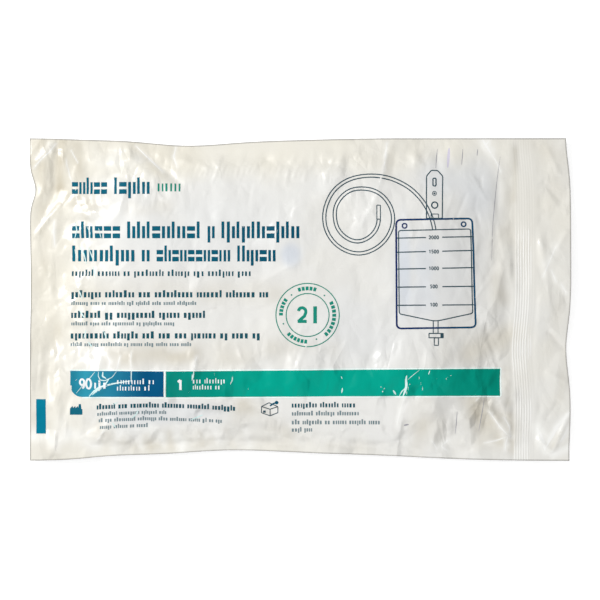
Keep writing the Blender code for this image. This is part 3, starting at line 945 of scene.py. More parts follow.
def base_heights(x, y):
    """Heights of the plain and of the printed film before their wrinkles."""
    lower = edge_height(x, y) * (1.0 - foot(x, y))
    rise = filled(x, y) * (FULLNESS + contents_relief(x, y))
    return lower, lower + PLIES + rise


def grid_faces(n, m, start=0, flip=False):
    """Quads of an n by m grid of vertices numbered from start, row by row."""
    index = start + np.arange(n * m).reshape(n, m)
    corners = (index[:-1, :-1], index[1:, :-1], index[1:, 1:], index[:-1, 1:])
    faces = np.stack(corners[::-1] if flip else corners, -1).reshape(-1, 4)
    return faces.tolist()


def make_mesh(name, points, faces, smooth=True):
    """A linked object of the given points and faces, shaded smooth up to the sharp angle."""
    mesh = bpy.data.meshes.new(name)
    mesh.from_pydata(np.asarray(points, float).reshape(-1, 3).tolist(), [], faces)
    if smooth:
        mesh.shade_smooth()
        mesh.set_sharp_from_angle(angle=SHARP_ANGLE)
    piece = bpy.data.objects.new(name, mesh)
    bpy.context.scene.collection.objects.link(piece)
    return piece


def simulated_film(x, y):
    """The film as cloth that is a little too long and too wide for its edges, laid on the contents.

    It starts on the smooth base with slow random bumps, its rest lengths are those of a flat sheet
    SPARE_LONG times as long and SPARE_ACROSS times as wide, and its margins are held.
    """
    upper = base_heights(x, y)[1]
    plan_x, plan_y = in_outline(x, y)
    inside = filled(x, y) > 0.0
    bumps = BUMP_HEIGHT * value_noise(x, y, BUMP_SIZE, SEED["cloth"]) + creases(x, y, CREASES)
    start = np.stack((plan_x, plan_y, upper + CLOTH_START * inside + bumps * inside), -1)
    solid = np.stack((plan_x, plan_y, upper - np.where(inside, *CONTENTS_UNDER)), -1)
    flat = np.stack((x * SPARE_LONG, y * SPARE_ACROSS, np.zeros_like(x)), -1)
    n, m = x.shape
    film = make_mesh("film_cloth", start * CLOTH_SCALE, grid_faces(n, m))
    contents = make_mesh("film_contents", solid * CLOTH_SCALE, grid_faces(n, m))
    contents.modifiers.new("rest", "COLLISION")
    contents.collision.thickness_outer = CLOTH_GAP

    film.shape_key_add(name="placed")
    rest = film.shape_key_add(name="flat")
    rest.data.foreach_set("co", (flat * CLOTH_SCALE).astype(np.float32).ravel())
    held = film.vertex_groups.new(name="held")
    margins = (x <= WELD) | (x >= SEAL_START) | (y <= 0.0) | (y >= y.max())
    held.add(np.flatnonzero(margins.ravel()).tolist(), 1.0, "REPLACE")

    cloth = film.modifiers.new("cloth", "CLOTH")
    for name, value in CLOTH_SETTINGS.items():
        setattr(cloth.settings, name, value)
    cloth.settings.vertex_group_mass = held.name
    cloth.settings.rest_shape_key = rest
    cloth.settings.effector_weights.gravity = CLOTH_GRAVITY
    cloth.collision_settings.distance_min = CLOTH_GAP
    cloth.collision_settings.use_self_collision = False
    cloth.point_cache.frame_end = CLOTH_FRAMES
    bpy.context.scene.frame_end = CLOTH_FRAMES
    for number in range(1, CLOTH_FRAMES + 1):
        bpy.context.scene.frame_set(number)
    shaped = film.evaluated_get(bpy.context.evaluated_depsgraph_get()).data
    places = np.empty(n * m * 3, np.float32)
    shaped.vertices.foreach_get("co", places)
    bpy.data.objects.remove(film)
    bpy.data.objects.remove(contents)
    bpy.context.scene.frame_set(1)
    base = np.stack((plan_x, plan_y, upper), -1)
    return places.reshape(n, m, 3).astype(float) / CLOTH_SCALE - base


def cubic_weights(places, knots):
    """Catmull-Rom weights that read evenly spaced knots at other places, as a matrix."""
    u = (places - knots[0]) / (knots[1] - knots[0])
    i = np.clip(np.floor(u).astype(int), 0, len(knots) - 2)
    f = u - i
    parts = (
        (-f + 2.0 * f**2 - f**3) / 2.0,
        (2.0 - 5.0 * f**2 + 3.0 * f**3) / 2.0,
        (f + 4.0 * f**2 - 3.0 * f**3) / 2.0,
        (-(f**2) + f**3) / 2.0,
    )
    weights = np.zeros((len(places), len(knots)))
    for step, part in enumerate(parts):
        column = np.clip(i + step - 1, 0, len(knots) - 1)
        np.add.at(weights, (np.arange(len(places)), column), part)
    return weights


def wrinkled(columns, rows):
    """How far the simulated film stands from its base, on the fine grid, with its reach capped."""
    across = np.linspace(0.0, LENGTH, round(LENGTH / CLOTH_CELL) + 1)
    up = np.linspace(0.0, WIDTH, round(WIDTH / CLOTH_CELL) + 1)
    x, y = np.meshgrid(across, up, indexing="ij")
    away = simulated_film(x, y)
    away *= (1.0 - CALM_CLOTH * calm(x, y))[..., None]
    reach = np.linalg.norm(away, axis=-1, keepdims=True)
    away *= CLOTH_REACH * np.tanh(reach / CLOTH_REACH) / np.maximum(reach, 1e-9)
    return np.einsum(
        "ai,ijc,bj->abc", cubic_weights(columns, across), away, cubic_weights(rows, up)
    )


def scattered_creases():
    """Short creases at seeded places, thickest where the film is roughest, many of them forked."""
    rng = np.random.default_rng(SEED["short_creases"])
    entries = []
    for left, top, right, bottom, count, steep in SCATTER:
        for _ in range(count):
            px, py = rng.uniform(left, right), rng.uniform(top, bottom)
            turn = math.radians(rng.normal(steep, SHORT_STRAY))
            run = rng.uniform(*SHORT_RUN)
            half_width = rng.uniform(*SHORT_HALF_WIDTH) * MM
            height = rng.uniform(*SHORT_HEIGHT) * MM * rng.choice((1.0, 1.0, -1.0))
            dx, dy = run * math.cos(turn), -run * math.sin(turn)
            entries.append((px - dx / 2, py - dy / 2, px + dx / 2, py + dy / 2, half_width, height))
            if rng.uniform() < 0.5:
                turn += math.radians(rng.choice((-1.0, 1.0)) * rng.uniform(*FORK_TURN))
                dx, dy = FORK_RUN * run * math.cos(turn), -FORK_RUN * run * math.sin(turn)
                entries.append((px, py, px + dx, py + dy, half_width, FORK_HEIGHT * height))
    return entries


def fine_gathers(x, y):
    """Short slanting ridges side by side where the folded bag's upper edge presses on the film."""
    rng = np.random.default_rng(SEED["gathers"])
    total = np.zeros_like(x)
    for px in np.arange(*GATHERS):
        lean, drop = rng.uniform(*GATHER_LEAN), rng.uniform(*GATHER_DROP)
        top = GATHER_TOP + rng.uniform(*GATHER_STRAY)
        height = rng.uniform(*GATHER_HEIGHT) * MM
        total += crease(x, y, (px + lean, top, px, top + drop, GATHER_HALF_WIDTH, height))
    return total


def film_columns():
    """Grid lines from left to right: even ones, and a close group through the ribs of the seal.

    The count of cells is even, as make_film needs.
    """
    body = np.linspace(0.0, SEAL_START, 2 * round(SEAL_START / CELL / 2.0) + 1)
    ribs = np.linspace(SEAL_START, LENGTH - LIP, RIB_COUNT * CELLS_IN_RIB + 1)
    lip = np.linspace(LENGTH - LIP, LENGTH, 2 * round(LIP / CELL / 2.0) + 1)
    return np.concatenate((body, ribs[1:], lip[1:]))


class Film:
    """The printed film as a grid of places, which the print is laid on."""

    def __init__(self):
        """Its grid, the two films' places on it, and where it is creased, worn and crumpled."""
        self.columns = film_columns()
        self.rows = np.linspace(0.0, WIDTH, 2 * round(WIDTH / CELL / 2.0) + 1)
        x, y = np.meshgrid(self.columns, self.rows, indexing="ij")
        self.x, self.y = x, y
        lower, upper = base_heights(x, y)
        plan_x, plan_y = in_outline(x, y)
        away = wrinkled(self.columns, self.rows)
        over = filled(x, y)
        rough = 1.0 - calm(x, y)
        self.rough = rough * (1.0 - self.in_seal(x))
        detail = creases(x, y, CREASES) + fine_gathers(x, y) + creases(x, y, scattered_creases())
        detail += rough * crushed(x, y, SEED["body_facets"])
        detail *= smooth_step(over / WRINKLED_FROM)
        both = rough * crushed(x, y, SEED["end_facets"]) + creases(x, y, END_FOLDS)
        both *= (1.0 - smooth_step(over / MARGIN_UPTO)) * (1.0 - SEAL_FLATTENS * self.in_seal(x))
        top = upper + away[..., 2] + detail
        both *= 1.0 - foot(x, y)
        lower = np.maximum(lower + both, 0.0)
        top = np.maximum(top + both, lower + PLIES)
        top += self.ribs(x, y)
        self.top = np.stack((plan_x + away[..., 0], plan_y + away[..., 1], top), -1)
        self.bottom = np.stack((plan_x, plan_y, lower), -1)[::2, ::2]
        long = np.gradient(self.top, self.columns, axis=0)
        wide = np.gradient(self.top, self.rows, axis=1)
        normals = np.cross(long, wide)
        self.normals = normals / np.linalg.norm(normals, axis=-1, keepdims=True)
        folded = (detail + both) * (1.0 - self.in_seal(x))
        bend = np.gradient(np.gradient(folded, self.columns, axis=0), self.columns, axis=0)
        bend += np.gradient(np.gradient(folded, self.rows, axis=1), self.rows, axis=1)
        # Pale on sharp outward bends: partly stress whitening, partly painted highlight; with the
        # painted highlights of the ribs and creases
        self.whitening_and_highlights = smooth_step((-bend - RIDGE_BEND) / (4.0 * RIDGE_BEND))
        self.whitening_and_highlights = np.maximum.reduce((self.whitening_and_highlights, self.rib_highlights(x, y), crease_glow(x, y)))
        # Darker in the valleys of the folds: painted shade
        self.painted_valley_shade = smooth_step((bend - RIDGE_BEND) / (4.0 * RIDGE_BEND))

    def in_seal(self, x):
        """One in the seal bar, falling to zero to either side of it by an S curve."""
        outside = np.maximum(SEAL_START - x, x - SEAL_START - SEAL_BAR)
        return 1.0 - smooth_step(outside / SEAL_FADE)

    def ribs(self, x, y):
        """Pressed ribs in the seal bar: a raised cosine along X, fainter at the top and the lip."""
        along = (x - SEAL_START) / SEAL_BAR
        inside = (along >= 0.0) & (along <= 1.0)
        wave = 1.0 - np.cos(2.0 * math.pi * RIB_COUNT * along)
        high = smooth_step((y / WIDTH - FAINT_ACROSS[0]) / FAINT_ACROSS[1])
        late = smooth_step((along - FAINT_ALONG[0]) / FAINT_ALONG[1])
        pressed = 1.0 - FAINT_RIBS * np.maximum(high, late)
        return np.where(inside, 0.5 * RIB_HEIGHT * wave * pressed, 0.0)

    def rib_highlights(self, x, y):
        """Painted highlights on the crests of the ribs: their height squared, faded along Y by slow
        noise.
        """
        crest = (self.ribs(x, y) / RIB_HEIGHT) ** 2
        patchy = smooth_step(0.65 + value_noise(x * 0.3, y, RIB_HIGHLIGHT_RUNS, SEED["rib_highlights"]))
        return RIB_HIGHLIGHT * crest * patchy

    def reading(self, field, x, y):
        """A field of the grid at flat film coordinates: bilinear between four grid points."""
        u = np.interp(x, self.columns, np.arange(len(self.columns)))
        v = np.interp(y, self.rows, np.arange(len(self.rows)))
        i = np.clip(u.astype(int), 0, len(self.columns) - 2)
        j = np.clip(v.astype(int), 0, len(self.rows) - 2)
        fu, fv = (u - i)[..., None], (v - j)[..., None]
        near = field[i, j] * (1.0 - fu) + field[i + 1, j] * fu
        far = field[i, j + 1] * (1.0 - fu) + field[i + 1, j + 1] * fu
        return near * (1.0 - fv) + far * fv

    def at(self, x, y, rise):
        """Places on the film, moved out along its normal."""
        return self.reading(self.top + rise * self.normals, x, y)

    def roughness(self, x, y):
        """How far the film is crumpled, which the print shows too."""
        return self.reading(self.rough[..., None], x, y)[..., 0]


def ring_of(n, m, start):
    """Numbers of the border vertices of an n by m grid, once round it."""
    index = start + np.arange(n * m).reshape(n, m)
    return np.concatenate((index[:-1, 0], index[-1, :-1], index[:0:-1, -1], index[0, :0:-1]))


def make_film(film):
    """One closed piece: the printed film's fine grid, the plain film's grid of every second line,
    and a rim of five-sided faces that joins two fine cells to one coarse cell."""
    n, m = film.top.shape[:2]
    k, w = film.bottom.shape[:2]
    fine = ring_of(n, m, 0)
    coarse = ring_of(k, w, n * m)
    rim = np.stack(
        (
            coarse,
            np.roll(coarse, -1),
            np.roll(fine, -2)[::2],
            np.roll(fine, -1)[::2],
            fine[::2],
        ),
        -1,
    )
    points = np.concatenate((film.top.reshape(-1, 3), film.bottom.reshape(-1, 3)))
    faces = grid_faces(n, m) + grid_faces(k, w, n * m, flip=True) + rim.tolist()
    piece = make_mesh("film_pouch", points, faces)
    tones = {
        "warmth": (warmth(film.x, film.y), 0.6),
        "show_through": (show_through(film.x, film.y), 0.2),
        "fold_shade": (fold_shade(film.x, film.y), 0.0),
        "cut_edge_shade": (cut_edge_shade(film.x, film.y), 0.0),
        "whitening_and_highlight": (film.whitening_and_highlights, 0.0),
        "valley_shade": (film.painted_valley_shade, 0.0),
        "rough": (film.rough, 0.3),
    }
    for name, (values, plain) in tones.items():
        layer = piece.data.attributes.new(name, "FLOAT", "POINT")
        under = np.full(k * w, plain)
        layer.data.foreach_set("value", np.concatenate((values.ravel(), under)))
    return piece


def mottle(x, y, size, depth, name):
    """Slow noise of a size and a depth, from the seed of that name."""
    return depth * value_noise(x, y, size, SEED[name])


def warmth(x, y):
    """Creamy margins, most so at the upper left.

    One minus a soft box, times a slope that grows upwards and to the left, with two slow noises.
    """
    left, low = flat_place(*COOL_BOX[:2])
    right, high = flat_place(*COOL_BOX[2:])
    ends = soft_box(x, left, right, COOL_FADE[0], COOL_FADE[1])
    sides = soft_box(y, low, high, COOL_FADE[2], COOL_FADE[2])
    mottled = mottle(x, y, *WARM_BROAD, "warm") + mottle(x, y, *WARM_FINE, "warm_fine")
    slope = 0.70 + 0.45 * y / WIDTH - 0.55 * x / LENGTH
    return np.clip((1.0 - ends * sides) * slope + mottled, 0.0, 1.0)


def cut_edge_shade(x, y):
    """One on the outermost strip, where the cut or folded films are seen edge on: painted shade."""
    inside = np.minimum(np.minimum(x, LENGTH - x), np.minimum(y, WIDTH - y))
    return np.where(inside < 0.3 * CELL, 1.0, 0.0)


def soft_spots(x, y, spots):
    """Sum of flat-topped soft spots: depth times exp(-r^4), with r a share of the half widths."""
    shade = np.zeros_like(x)
    for px, py, half_x, half_y, depth in spots:
        cx, cy = flat_place(px, py)
        radius = np.hypot((x - cx) / (half_x * PIXEL), (y - cy) / (half_y * PIXEL))
        shade += depth * np.exp(-(radius**4))
    return shade


def stroke_shade(x, y, strokes):
    """Sum of soft strokes between pixels: depth times exp(-(distance to the line / width)^2)."""
    shade = np.zeros_like(x)
    for px0, py0, px1, py1, width, depth in strokes:
        x0, y0 = flat_place(px0, py0)
        x1, y1 = flat_place(px1, py1)
        run = math.hypot(x1 - x0, y1 - y0)
        ahead_x, ahead_y = x1 - x0, y1 - y0
        along = np.clip(((x - x0) * ahead_x + (y - y0) * ahead_y) / run**2, 0.0, 1.0)
        away = np.hypot(x - x0 - along * ahead_x, y - y0 - along * ahead_y)
        shade += depth * bell(away, 0.0, width * PIXEL)
    return shade


def crease_glow(x, y):
    """Painted highlights: soft white on the lit facets, and to either side of the stretched and lit
    creases.
    """
    strokes = [
        (*start, *end, 1.3 * width, 0.5)
        for path, width in WHITENED_AND_LIT_CREASES
        for start, end in zip(path[:-1], path[1:])
    ]
    beside = np.clip(stroke_shade(x, y, strokes), 0.0, 0.5)
    mottled = 1.0 + mottle(x, y, *GLOW_NOISE, "glow")
    return np.maximum(beside, np.clip(stroke_shade(x, y, LIT_FACETS) * mottled, 0.0, 0.8))


def fold_shade(x, y):
    """Brownish shade where the film lies folded on itself: soft strokes with slow noise."""
    mottled = 1.0 + mottle(x, y, *FOLD_SHADE_NOISE, "fold_shade")
    return np.clip(stroke_shade(x, y, FOLD_SHADE) * mottled, 0.0, 1.0)


def show_through(x, y):
    """Bluish shade of the contents seen through the film: soft spots."""
    return np.clip(soft_spots(x, y, SHOWN), 0.0, 1.0)


class Print:
    """Flat shapes of one ink, laid on the film as thin closed slabs and joined into one piece."""

    def __init__(self, film, rise=INK):
        """An ink with no shapes yet, which will lie this high over the film."""
        self.film, self.rise = film, rise
        self.points, self.faces, self.rough, self.count = [], [], [], 0

    def slab(self, px, py, closed=False):
        """A grid of pixels, pressed onto the film: its upper side, its lower side and its rim."""
        x, y = flat_place(px, py)
        n, m = x.shape
        upper = self.film.at(x, y, self.rise)
        lower = self.film.at(x, y, -INK)
        self.points += [upper.reshape(-1, 3), lower.reshape(-1, 3)]
        self.rough += [self.film.roughness(x, y).ravel()] * 2
        index = self.count + np.arange(n * m).reshape(n, m)
        if closed:
            index = np.concatenate((index, index[:1]))
        under = index + n * m
        quads = (index[:-1, :-1], index[1:, :-1], index[1:, 1:], index[:-1, 1:])
        below = (under[:-1, :-1], under[:-1, 1:], under[1:, 1:], under[1:, :-1])
        sides = [(index[:, 0], under[:, 0]), (under[:, -1], index[:, -1])]
        if not closed:
            sides += [(under[0], index[0]), (index[-1], under[-1])]
        faces = [np.stack(q, -1).reshape(-1, 4) for q in (quads, below)]
        faces += [np.stack((a[1:], a[:-1], b[:-1], b[1:]), -1) for a, b in sides]
        self.faces += np.concatenate(faces).tolist()
        self.count += 2 * n * m

    def between(self, px, lows, highs):
        """A field whose lower and upper edges are given along a run of pixels."""
        tall = np.max(np.abs(np.asarray(highs, float) - lows)) * PIXEL
        share = np.linspace(0.0, 1.0, max(2, 1 + round(tall / INK_CELL)))
        py = np.asarray(lows)[:, None] + (np.asarray(highs) - lows)[:, None] * share
        self.slab(np.repeat(np.asarray(px, float)[:, None], len(share), 1), py)

    def block(self, left, top, right, bottom):
        """A plain rectangle."""
        px = np.linspace(left, right, max(2, 1 + round((right - left) * PIXEL / INK_CELL)))
        self.between(px, np.full(len(px), bottom), np.full(len(px), top))

    def line(self, px, py, width, closed=False):
        """A stroke along a path: two edges at half its width to either side."""
        px, py = np.asarray(px, float), np.asarray(py, float)
        if closed:
            ahead_x, ahead_y = (np.roll(c, -1) - np.roll(c, 1) for c in (px, py))
        else:
            ahead_x, ahead_y = np.gradient(px), np.gradient(py)
        size = np.hypot(ahead_x, ahead_y)
        side_x, side_y = ahead_y / size * width / 2.0, -ahead_x / size * width / 2.0
        across = np.stack((px + side_x, px - side_x), -1)
        self.slab(across, np.stack((py + side_y, py - side_y), -1), closed)

    def straight(self, x0, y0, x1, y1, width):
        """A straight stroke between two pixels."""
        count = max(2, 1 + round(math.hypot(x1 - x0, y1 - y0) * PIXEL / INK_CELL))
        self.line(np.linspace(x0, x1, count), np.linspace(y0, y1, count), width)

    def circle(self, cx, cy, radius, width):
        """A closed stroke along x = cos, y = sin of even turns."""
        turn = np.linspace(0.0, 2.0 * math.pi, max(12, round(radius * 2.4)), endpoint=False)
        self.line(cx + radius * np.cos(turn), cy + radius * np.sin(turn), width, closed=True)

    def dot(self, cx, cy, radius):
        """A disc: a square grid made round, x by root of 1 - y^2/2 and y by root of 1 - x^2/2."""
        side = np.linspace(-1.0, 1.0, 5)
        u, v = np.meshgrid(side, side, indexing="ij")
        px = cx + radius * u * np.sqrt(1.0 - v**2 / 2.0)
        py = cy - radius * v * np.sqrt(1.0 - u**2 / 2.0)
        self.slab(px, py)

    def outline(self, corners, radius, width):
        """A closed line round a list of corners, each rounded by a quadratic arc."""
        corners = np.asarray(corners, float)
        before, after = np.roll(corners, 1, 0), np.roll(corners, -1, 0)
        t = np.linspace(0.0, 1.0, 6)[:, None]
        path = []
        for back, corner, ahead in zip(before, corners, after):
            start = corner + (back - corner) * radius / np.linalg.norm(back - corner)
            end = corner + (ahead - corner) * radius / np.linalg.norm(ahead - corner)
            path.append((1 - t) ** 2 * start + 2 * t * (1 - t) * corner + t**2 * end)
            next_start = ahead + (corner - ahead) * radius / np.linalg.norm(ahead - corner)
            steps = max(2, round(np.linalg.norm(next_start - end) * PIXEL / INK_CELL))
            path.append(end + (next_start - end) * np.linspace(0.0, 1.0, steps + 1)[1:-1, None])
        path = np.concatenate(path)
        self.line(path[:, 0], path[:, 1], width, closed=True)

    def box(self, left, top, right, bottom, radius, width):
        """A closed line round a rectangle."""
        corners = ((left, top), (right, top), (right, bottom), (left, bottom))
        self.outline(corners, radius, width)

    def word(self, left, right, high, base, rng, share, pitch, bent):
        """Plain upright bars side by side, as many as fit, a few of them taller or hanging lower.

        The pitch is a share of the height of most bars, and each bar fills a share of its pitch.
        """
        middle = base - BODY * (base - high)
        count = max(1, round((right - left) / (pitch * (base - middle))))
        widths = rng.uniform(0.75, 1.25, count)
        ends = left + (right - left) * np.concatenate(([0.0], np.cumsum(widths) / widths.sum()))
        last_up = True
        for start, end in zip(ends[:-1], ends[1:]):
            kind = rng.uniform()
            up = kind < 0.24 and not last_up
            top = high if up else middle
            low = base + (TAIL * (base - high) if 0.24 < kind < 0.31 else 0.0)
            drop = fold_drop(start) if bent else 0.0
            self.block(start, top + drop, start + share * (end - start), low + drop)
            last_up = up

    def words(self, spans, high, base, seed, share, pitch=PITCH, bent=False):
        """A row of words: each span from a left to a right pixel holds one."""
        rng = np.random.default_rng(seed)
        for left, right in spans:
            self.word(left, right, high, base, rng, share, pitch, bent)

    def random_rows(self, table):
        """Rows of words of random lengths."""
        for left, right, high, base, seed, share, bent in table:
            spans = random_spans(left, right, high, base, seed)
            self.words(spans, high, base, seed, share, bent=bent)

    def bold_word(self, left, right, high, base, rng):
        """Plain shapes side by side: pairs of bars, stacks of two short blocks and single bars."""
        middle = base - BODY * (base - high)
        tall = base - middle
        cell = 0.74 * tall
        count = max(1, round((right - left) / (0.9 * cell)))
        kinds = rng.choice(("pair", "stack", "single"), count, p=(0.42, 0.34, 0.24))
        shares = np.where(kinds == "single", 0.55, 1.0)
        ends = left + (right - left) * np.concatenate(([0.0], np.cumsum(shares) / shares.sum()))
        for kind, start, end in zip(kinds, ends[:-1], ends[1:]):
            width = end - start
            if kind == "single":
                top = rng.choice((high, middle))
                self.block(start, top, start + 0.52 * width, base)
            elif kind == "pair":
                top = rng.choice((high, middle, middle))
                low = base + rng.choice((0.0, 0.0, 0.0, TAIL)) * (base - high)
                self.block(start, top, start + 0.31 * width, low)
                self.block(start + 0.52 * width, middle, start + 0.83 * width, base)
            else:
                self.block(start, middle, start + 0.83 * width, middle + 0.38 * tall)
                self.block(start, base - 0.40 * tall, start + 0.83 * width, base)

    def bold_words(self, spans, high, base, seed):
        """A row of words of plain shapes, one to each span of pixels."""
        rng = np.random.default_rng(seed)
        for left, right in spans:
            self.bold_word(left, right, high, base, rng)

    def stroke(self, path, width):
        """A line through a few pixels, smoothed, and narrower towards both ends."""
        path = np.asarray(path, float)
        steps = np.linspace(0.0, len(path) - 1.0, 8 * len(path))
        window = np.hanning(7) / np.hanning(7).sum()
        read = (np.interp(steps, np.arange(len(path)), c) for c in path.T)
        px, py = (np.convolve(np.pad(c, 3, "edge"), window, "valid") for c in read)
        self.line(px, py, width * (0.35 + 0.65 * np.sin(math.pi * np.linspace(0.0, 1.0, len(px)))))

    def strokes(self, table, share=1.0):
        """Strokes along the paths of a table, at a share of their widths."""
        for path, width in table:
            self.stroke(path, share * width)

    def piece(self, name, material):
        """The finished piece, with its material and the attribute that its crinkles follow."""
        made = make_mesh(name, np.concatenate(self.points), self.faces)
        made.data.materials.append(material)
        rough = made.data.attributes.new("rough", "FLOAT", "POINT")
        rough.data.foreach_set("value", np.concatenate(self.rough))
        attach(made, "root")


def random_spans(left, right, high, base, seed):
    """Spans of words of two to nine letters, one letter apart, from left to right."""
    rng = np.random.default_rng(seed)
    letter = 0.60 * (base - high)
    spans = []
    start = left
    while start < right - letter:
        end = min(start + letter * rng.integers(2, 10), right)
        if right - end < 2.5 * letter:
            end = right
        spans.append((start, end))
        start = end + 0.75 * letter
    return spans


def numeral(ink, sign, left, top, width, height, stroke):
    """One plain figure as a stroke: straight runs and arcs in a box of the given size."""
    def at(u, v):
        """Pixels of shares of the box, from its left and its base."""
        return left + u * width, top + (1.0 - v) * height

    def arc(cu, cv, ru, rv, start, end):
        """Shares along an arc of an ellipse, from one turn in degrees to another."""
        turn = np.radians(np.linspace(start, end, 14))
        return cu + ru * np.cos(turn), cv + rv * np.sin(turn)

    if sign == "0":
        u, v = arc(0.5, 0.5, 0.42, 0.5, 0.0, 334.0)
        ink.line(*at(u, v), stroke, closed=True)
        return
    if sign == "1":
        u, v = np.array([0.15, 0.55, 0.55, 0.55]), np.array([0.8, 1.0, 0.5, 0.0])
        ink.line(*at(u[1:], v[1:]), stroke)
        ink.line(*at(u[:2], v[:2]), stroke)
        return
    if sign == "2":
        u, v = arc(0.48, 0.72, 0.38, 0.28, 170.0, -35.0)
        u = np.concatenate((u, np.linspace(0.72, 0.08, 6)))
        v = np.concatenate((v, np.linspace(0.42, 0.04, 6)))
        ink.line(*at(u, v), stroke)
        ink.line(*at(np.linspace(0.02, 0.95, 4), np.full(4, 0.05)), stroke)
        return
    if sign == "5":
        u, v = arc(0.42, 0.33, 0.42, 0.31, 125.0, -140.0)
        ink.line(*at(u, v), stroke)
        ink.line(*at(np.array([0.85, 0.18, 0.16]), np.array([0.97, 0.97, 0.55])), stroke)
        return
    if sign == "9":
        u, v = arc(0.5, 0.68, 0.38, 0.30, 0.0, 334.0)
        ink.line(*at(u, v), stroke, closed=True)
        u, v = arc(0.4, 0.55, 0.48, 0.53, 10.0, -75.0)
        ink.line(*at(u, v), stroke)


def make_line_figure(film, inks):
    """Plain line drawing of the bag, its coiled tube, its hanger and its cross valve."""
    bag, fine = Print(film), Print(film)
    bag.outline(*BAG_WALL)
    for eye in BAG_EYES:
        bag.circle(*eye)
    for shape in (BAG_WELD, HANGER):
        fine.outline(*shape)
    for left_y, right_y, mark in BAG_SCALE:
        slope = (right_y - left_y) / SCALE_RUN
        for x0, run0, x1, run1 in SCALE_PARTS:
            fine.straight(x0, left_y + slope * run0, x1, left_y + slope * run1, SCALE_LINE)
        start = SCALE_MIDDLE - 0.5 * SCALE_PITCH * len(mark)
        for number, sign in enumerate(mark):
            place = (start + SCALE_PITCH * number, left_y - SCALE_RISE)
            numeral(fine, sign, *place, *SCALE_FIGURE)
    for wall in OUTLET_WALLS:
        fine.straight(*wall)
    for shape in BAG_BOXES:
        fine.box(*shape)
    fine.block(*VALVE_END)
    for hole in HANGER_HOLES:
        fine.circle(*hole)
    fine.dot(*HANGER_DOT)
    draw_tube(fine)
    bag.piece("bag_outline_print", inks["navy_ink"])
    fine.piece("line_figure_print", inks["grey_ink"])


def draw_tube(ink):
    """Two parallel lines along a spiral: the radius is read from a few turns and then smoothed."""
    turns, radii = np.array(COIL).T
    turn = np.arange(turns[0], turns[-1], COIL_STEP)
    radius = np.interp(turn, turns, radii)
    window = np.hanning(COIL_WINDOW) / np.hanning(COIL_WINDOW).sum()
    half = COIL_WINDOW // 2
    after = radius[-1] + COIL_END_SLOPE * np.arange(1, half + 1)
    radius = np.convolve(np.concatenate((np.full(half, radius[0]), radius, after)), window, "valid")
    x = COIL_MIDDLE[0] + radius * np.cos(np.radians(turn))
    y = COIL_MIDDLE[1] + radius * np.sin(np.radians(turn))
    ahead_x, ahead_y = np.gradient(x), np.gradient(y)
    size = np.hypot(ahead_x, ahead_y)
    for side in TUBE_SIDES:
        ink.line(x + ahead_y / size * side, y - ahead_x / size * side, TUBE_LINE)


def make_volume_ring(film, inks):
    """Two circles with blocks and dots between them, round one plain figure."""
    cx, cy = RING_MIDDLE
    ring = Print(film)
    for radius in RING_CIRCLES:
        ring.circle(cx, cy, radius, RING_LINE)
    radii = np.array(RING_BLOCKS)
    for start, end, count in BLOCK_RUNS:
        step = (end - start) / count
        for number in range(count):
            turn = np.radians(start + step * (number + np.array(BLOCK_SHARES)))
            ring.slab(cx + np.cos(turn)[:, None] * radii, cy - np.sin(turn)[:, None] * radii)
    for turn in np.radians(DOT_TURNS):
        place = (cx + DOT_PLACE * math.cos(turn), cy - DOT_PLACE * math.sin(turn))
        ring.dot(*place, DOT_RADIUS)
    numeral(ring, *RING_FIGURE)
    ring.block(*RING_BAR)
    ring.piece("volume_ring_print", inks["ring_ink"])


def field_edges(field):
    """Columns, lower edge and upper edge of a field."""
    ends, tops, bases, count = field
    return (np.linspace(*pair, count) for pair in (ends, bases, tops))


def make_fields(film, inks):
    """The blue and the green field, the side mark, the white print and painted highlights along
    creases on them.

    The blue field's lower left corner is a quarter of a circle.
    """
    left, mark, right = Print(film), Print(film), Print(film)
    px, lows, tops = field_edges(BLUE_FIELD)
    corner = np.clip(1.0 - (px - px[0]) / BLUE_CORNER, 0.0, 1.0)
    left.between(px, lows - BLUE_CORNER * (1.0 - np.sqrt(1.0 - corner**2)), tops)
    mark.block(*SIDE_MARK)
    right.between(*field_edges(GREEN_FIELD))
    edges = Print(film, rise=1.4 * INK)
    for x0, y0, x1, y1 in FIELD_EDGES:
        edges.straight(x0, y0, x1, y1, EDGE_LINE)
    pale = Print(film, rise=2.0 * INK)
    for figure in WHITE_FIGURES:
        numeral(pale, *figure)
    pale.words(*UNIT_ROW)
    pale.random_rows(WHITE_ROWS)
    # Painted highlights along the creases over the fields
    crease_glare = Print(film, rise=1.6 * INK)
    crease_glare.strokes(INK_CREASE_HIGHLIGHTS)
    edges.piece("field_edges", inks["pale_edge"])
    left.piece("blue_field_print", inks["blue_ink"])
    mark.piece("side_mark_print", inks["mark_ink"])
    right.piece("green_field_print", inks["green_ink"])
    pale.piece("white_print", inks["white_ink"])
    crease_glare.piece("ink_crease_highlights", inks["crease_highlight_ink"])


def make_whitened_and_lit_creases(film, inks):
    """Creases where the film is stretched white, with painted highlights, and painted glints on the
    ribs of the seal.
    """
    lines = Print(film, rise=0.4 * INK)
    lines.strokes(WHITENED_AND_LIT_CREASES, CREASE_LINE)
    rng = np.random.default_rng(SEED["glints"])
    for px in RIB_PIXELS:
        for top, bottom in GLINT_RUNS:
            start = top + rng.uniform(*GLINT_START) * (bottom - top)
            end = start + rng.uniform(*GLINT_LENGTH) * (bottom - top)
            lines.stroke(((px, start), (px, end)), rng.uniform(*GLINT_WIDTH))
    lines.piece("whitened_and_lit_creases", inks["stretched_and_lit_film"])


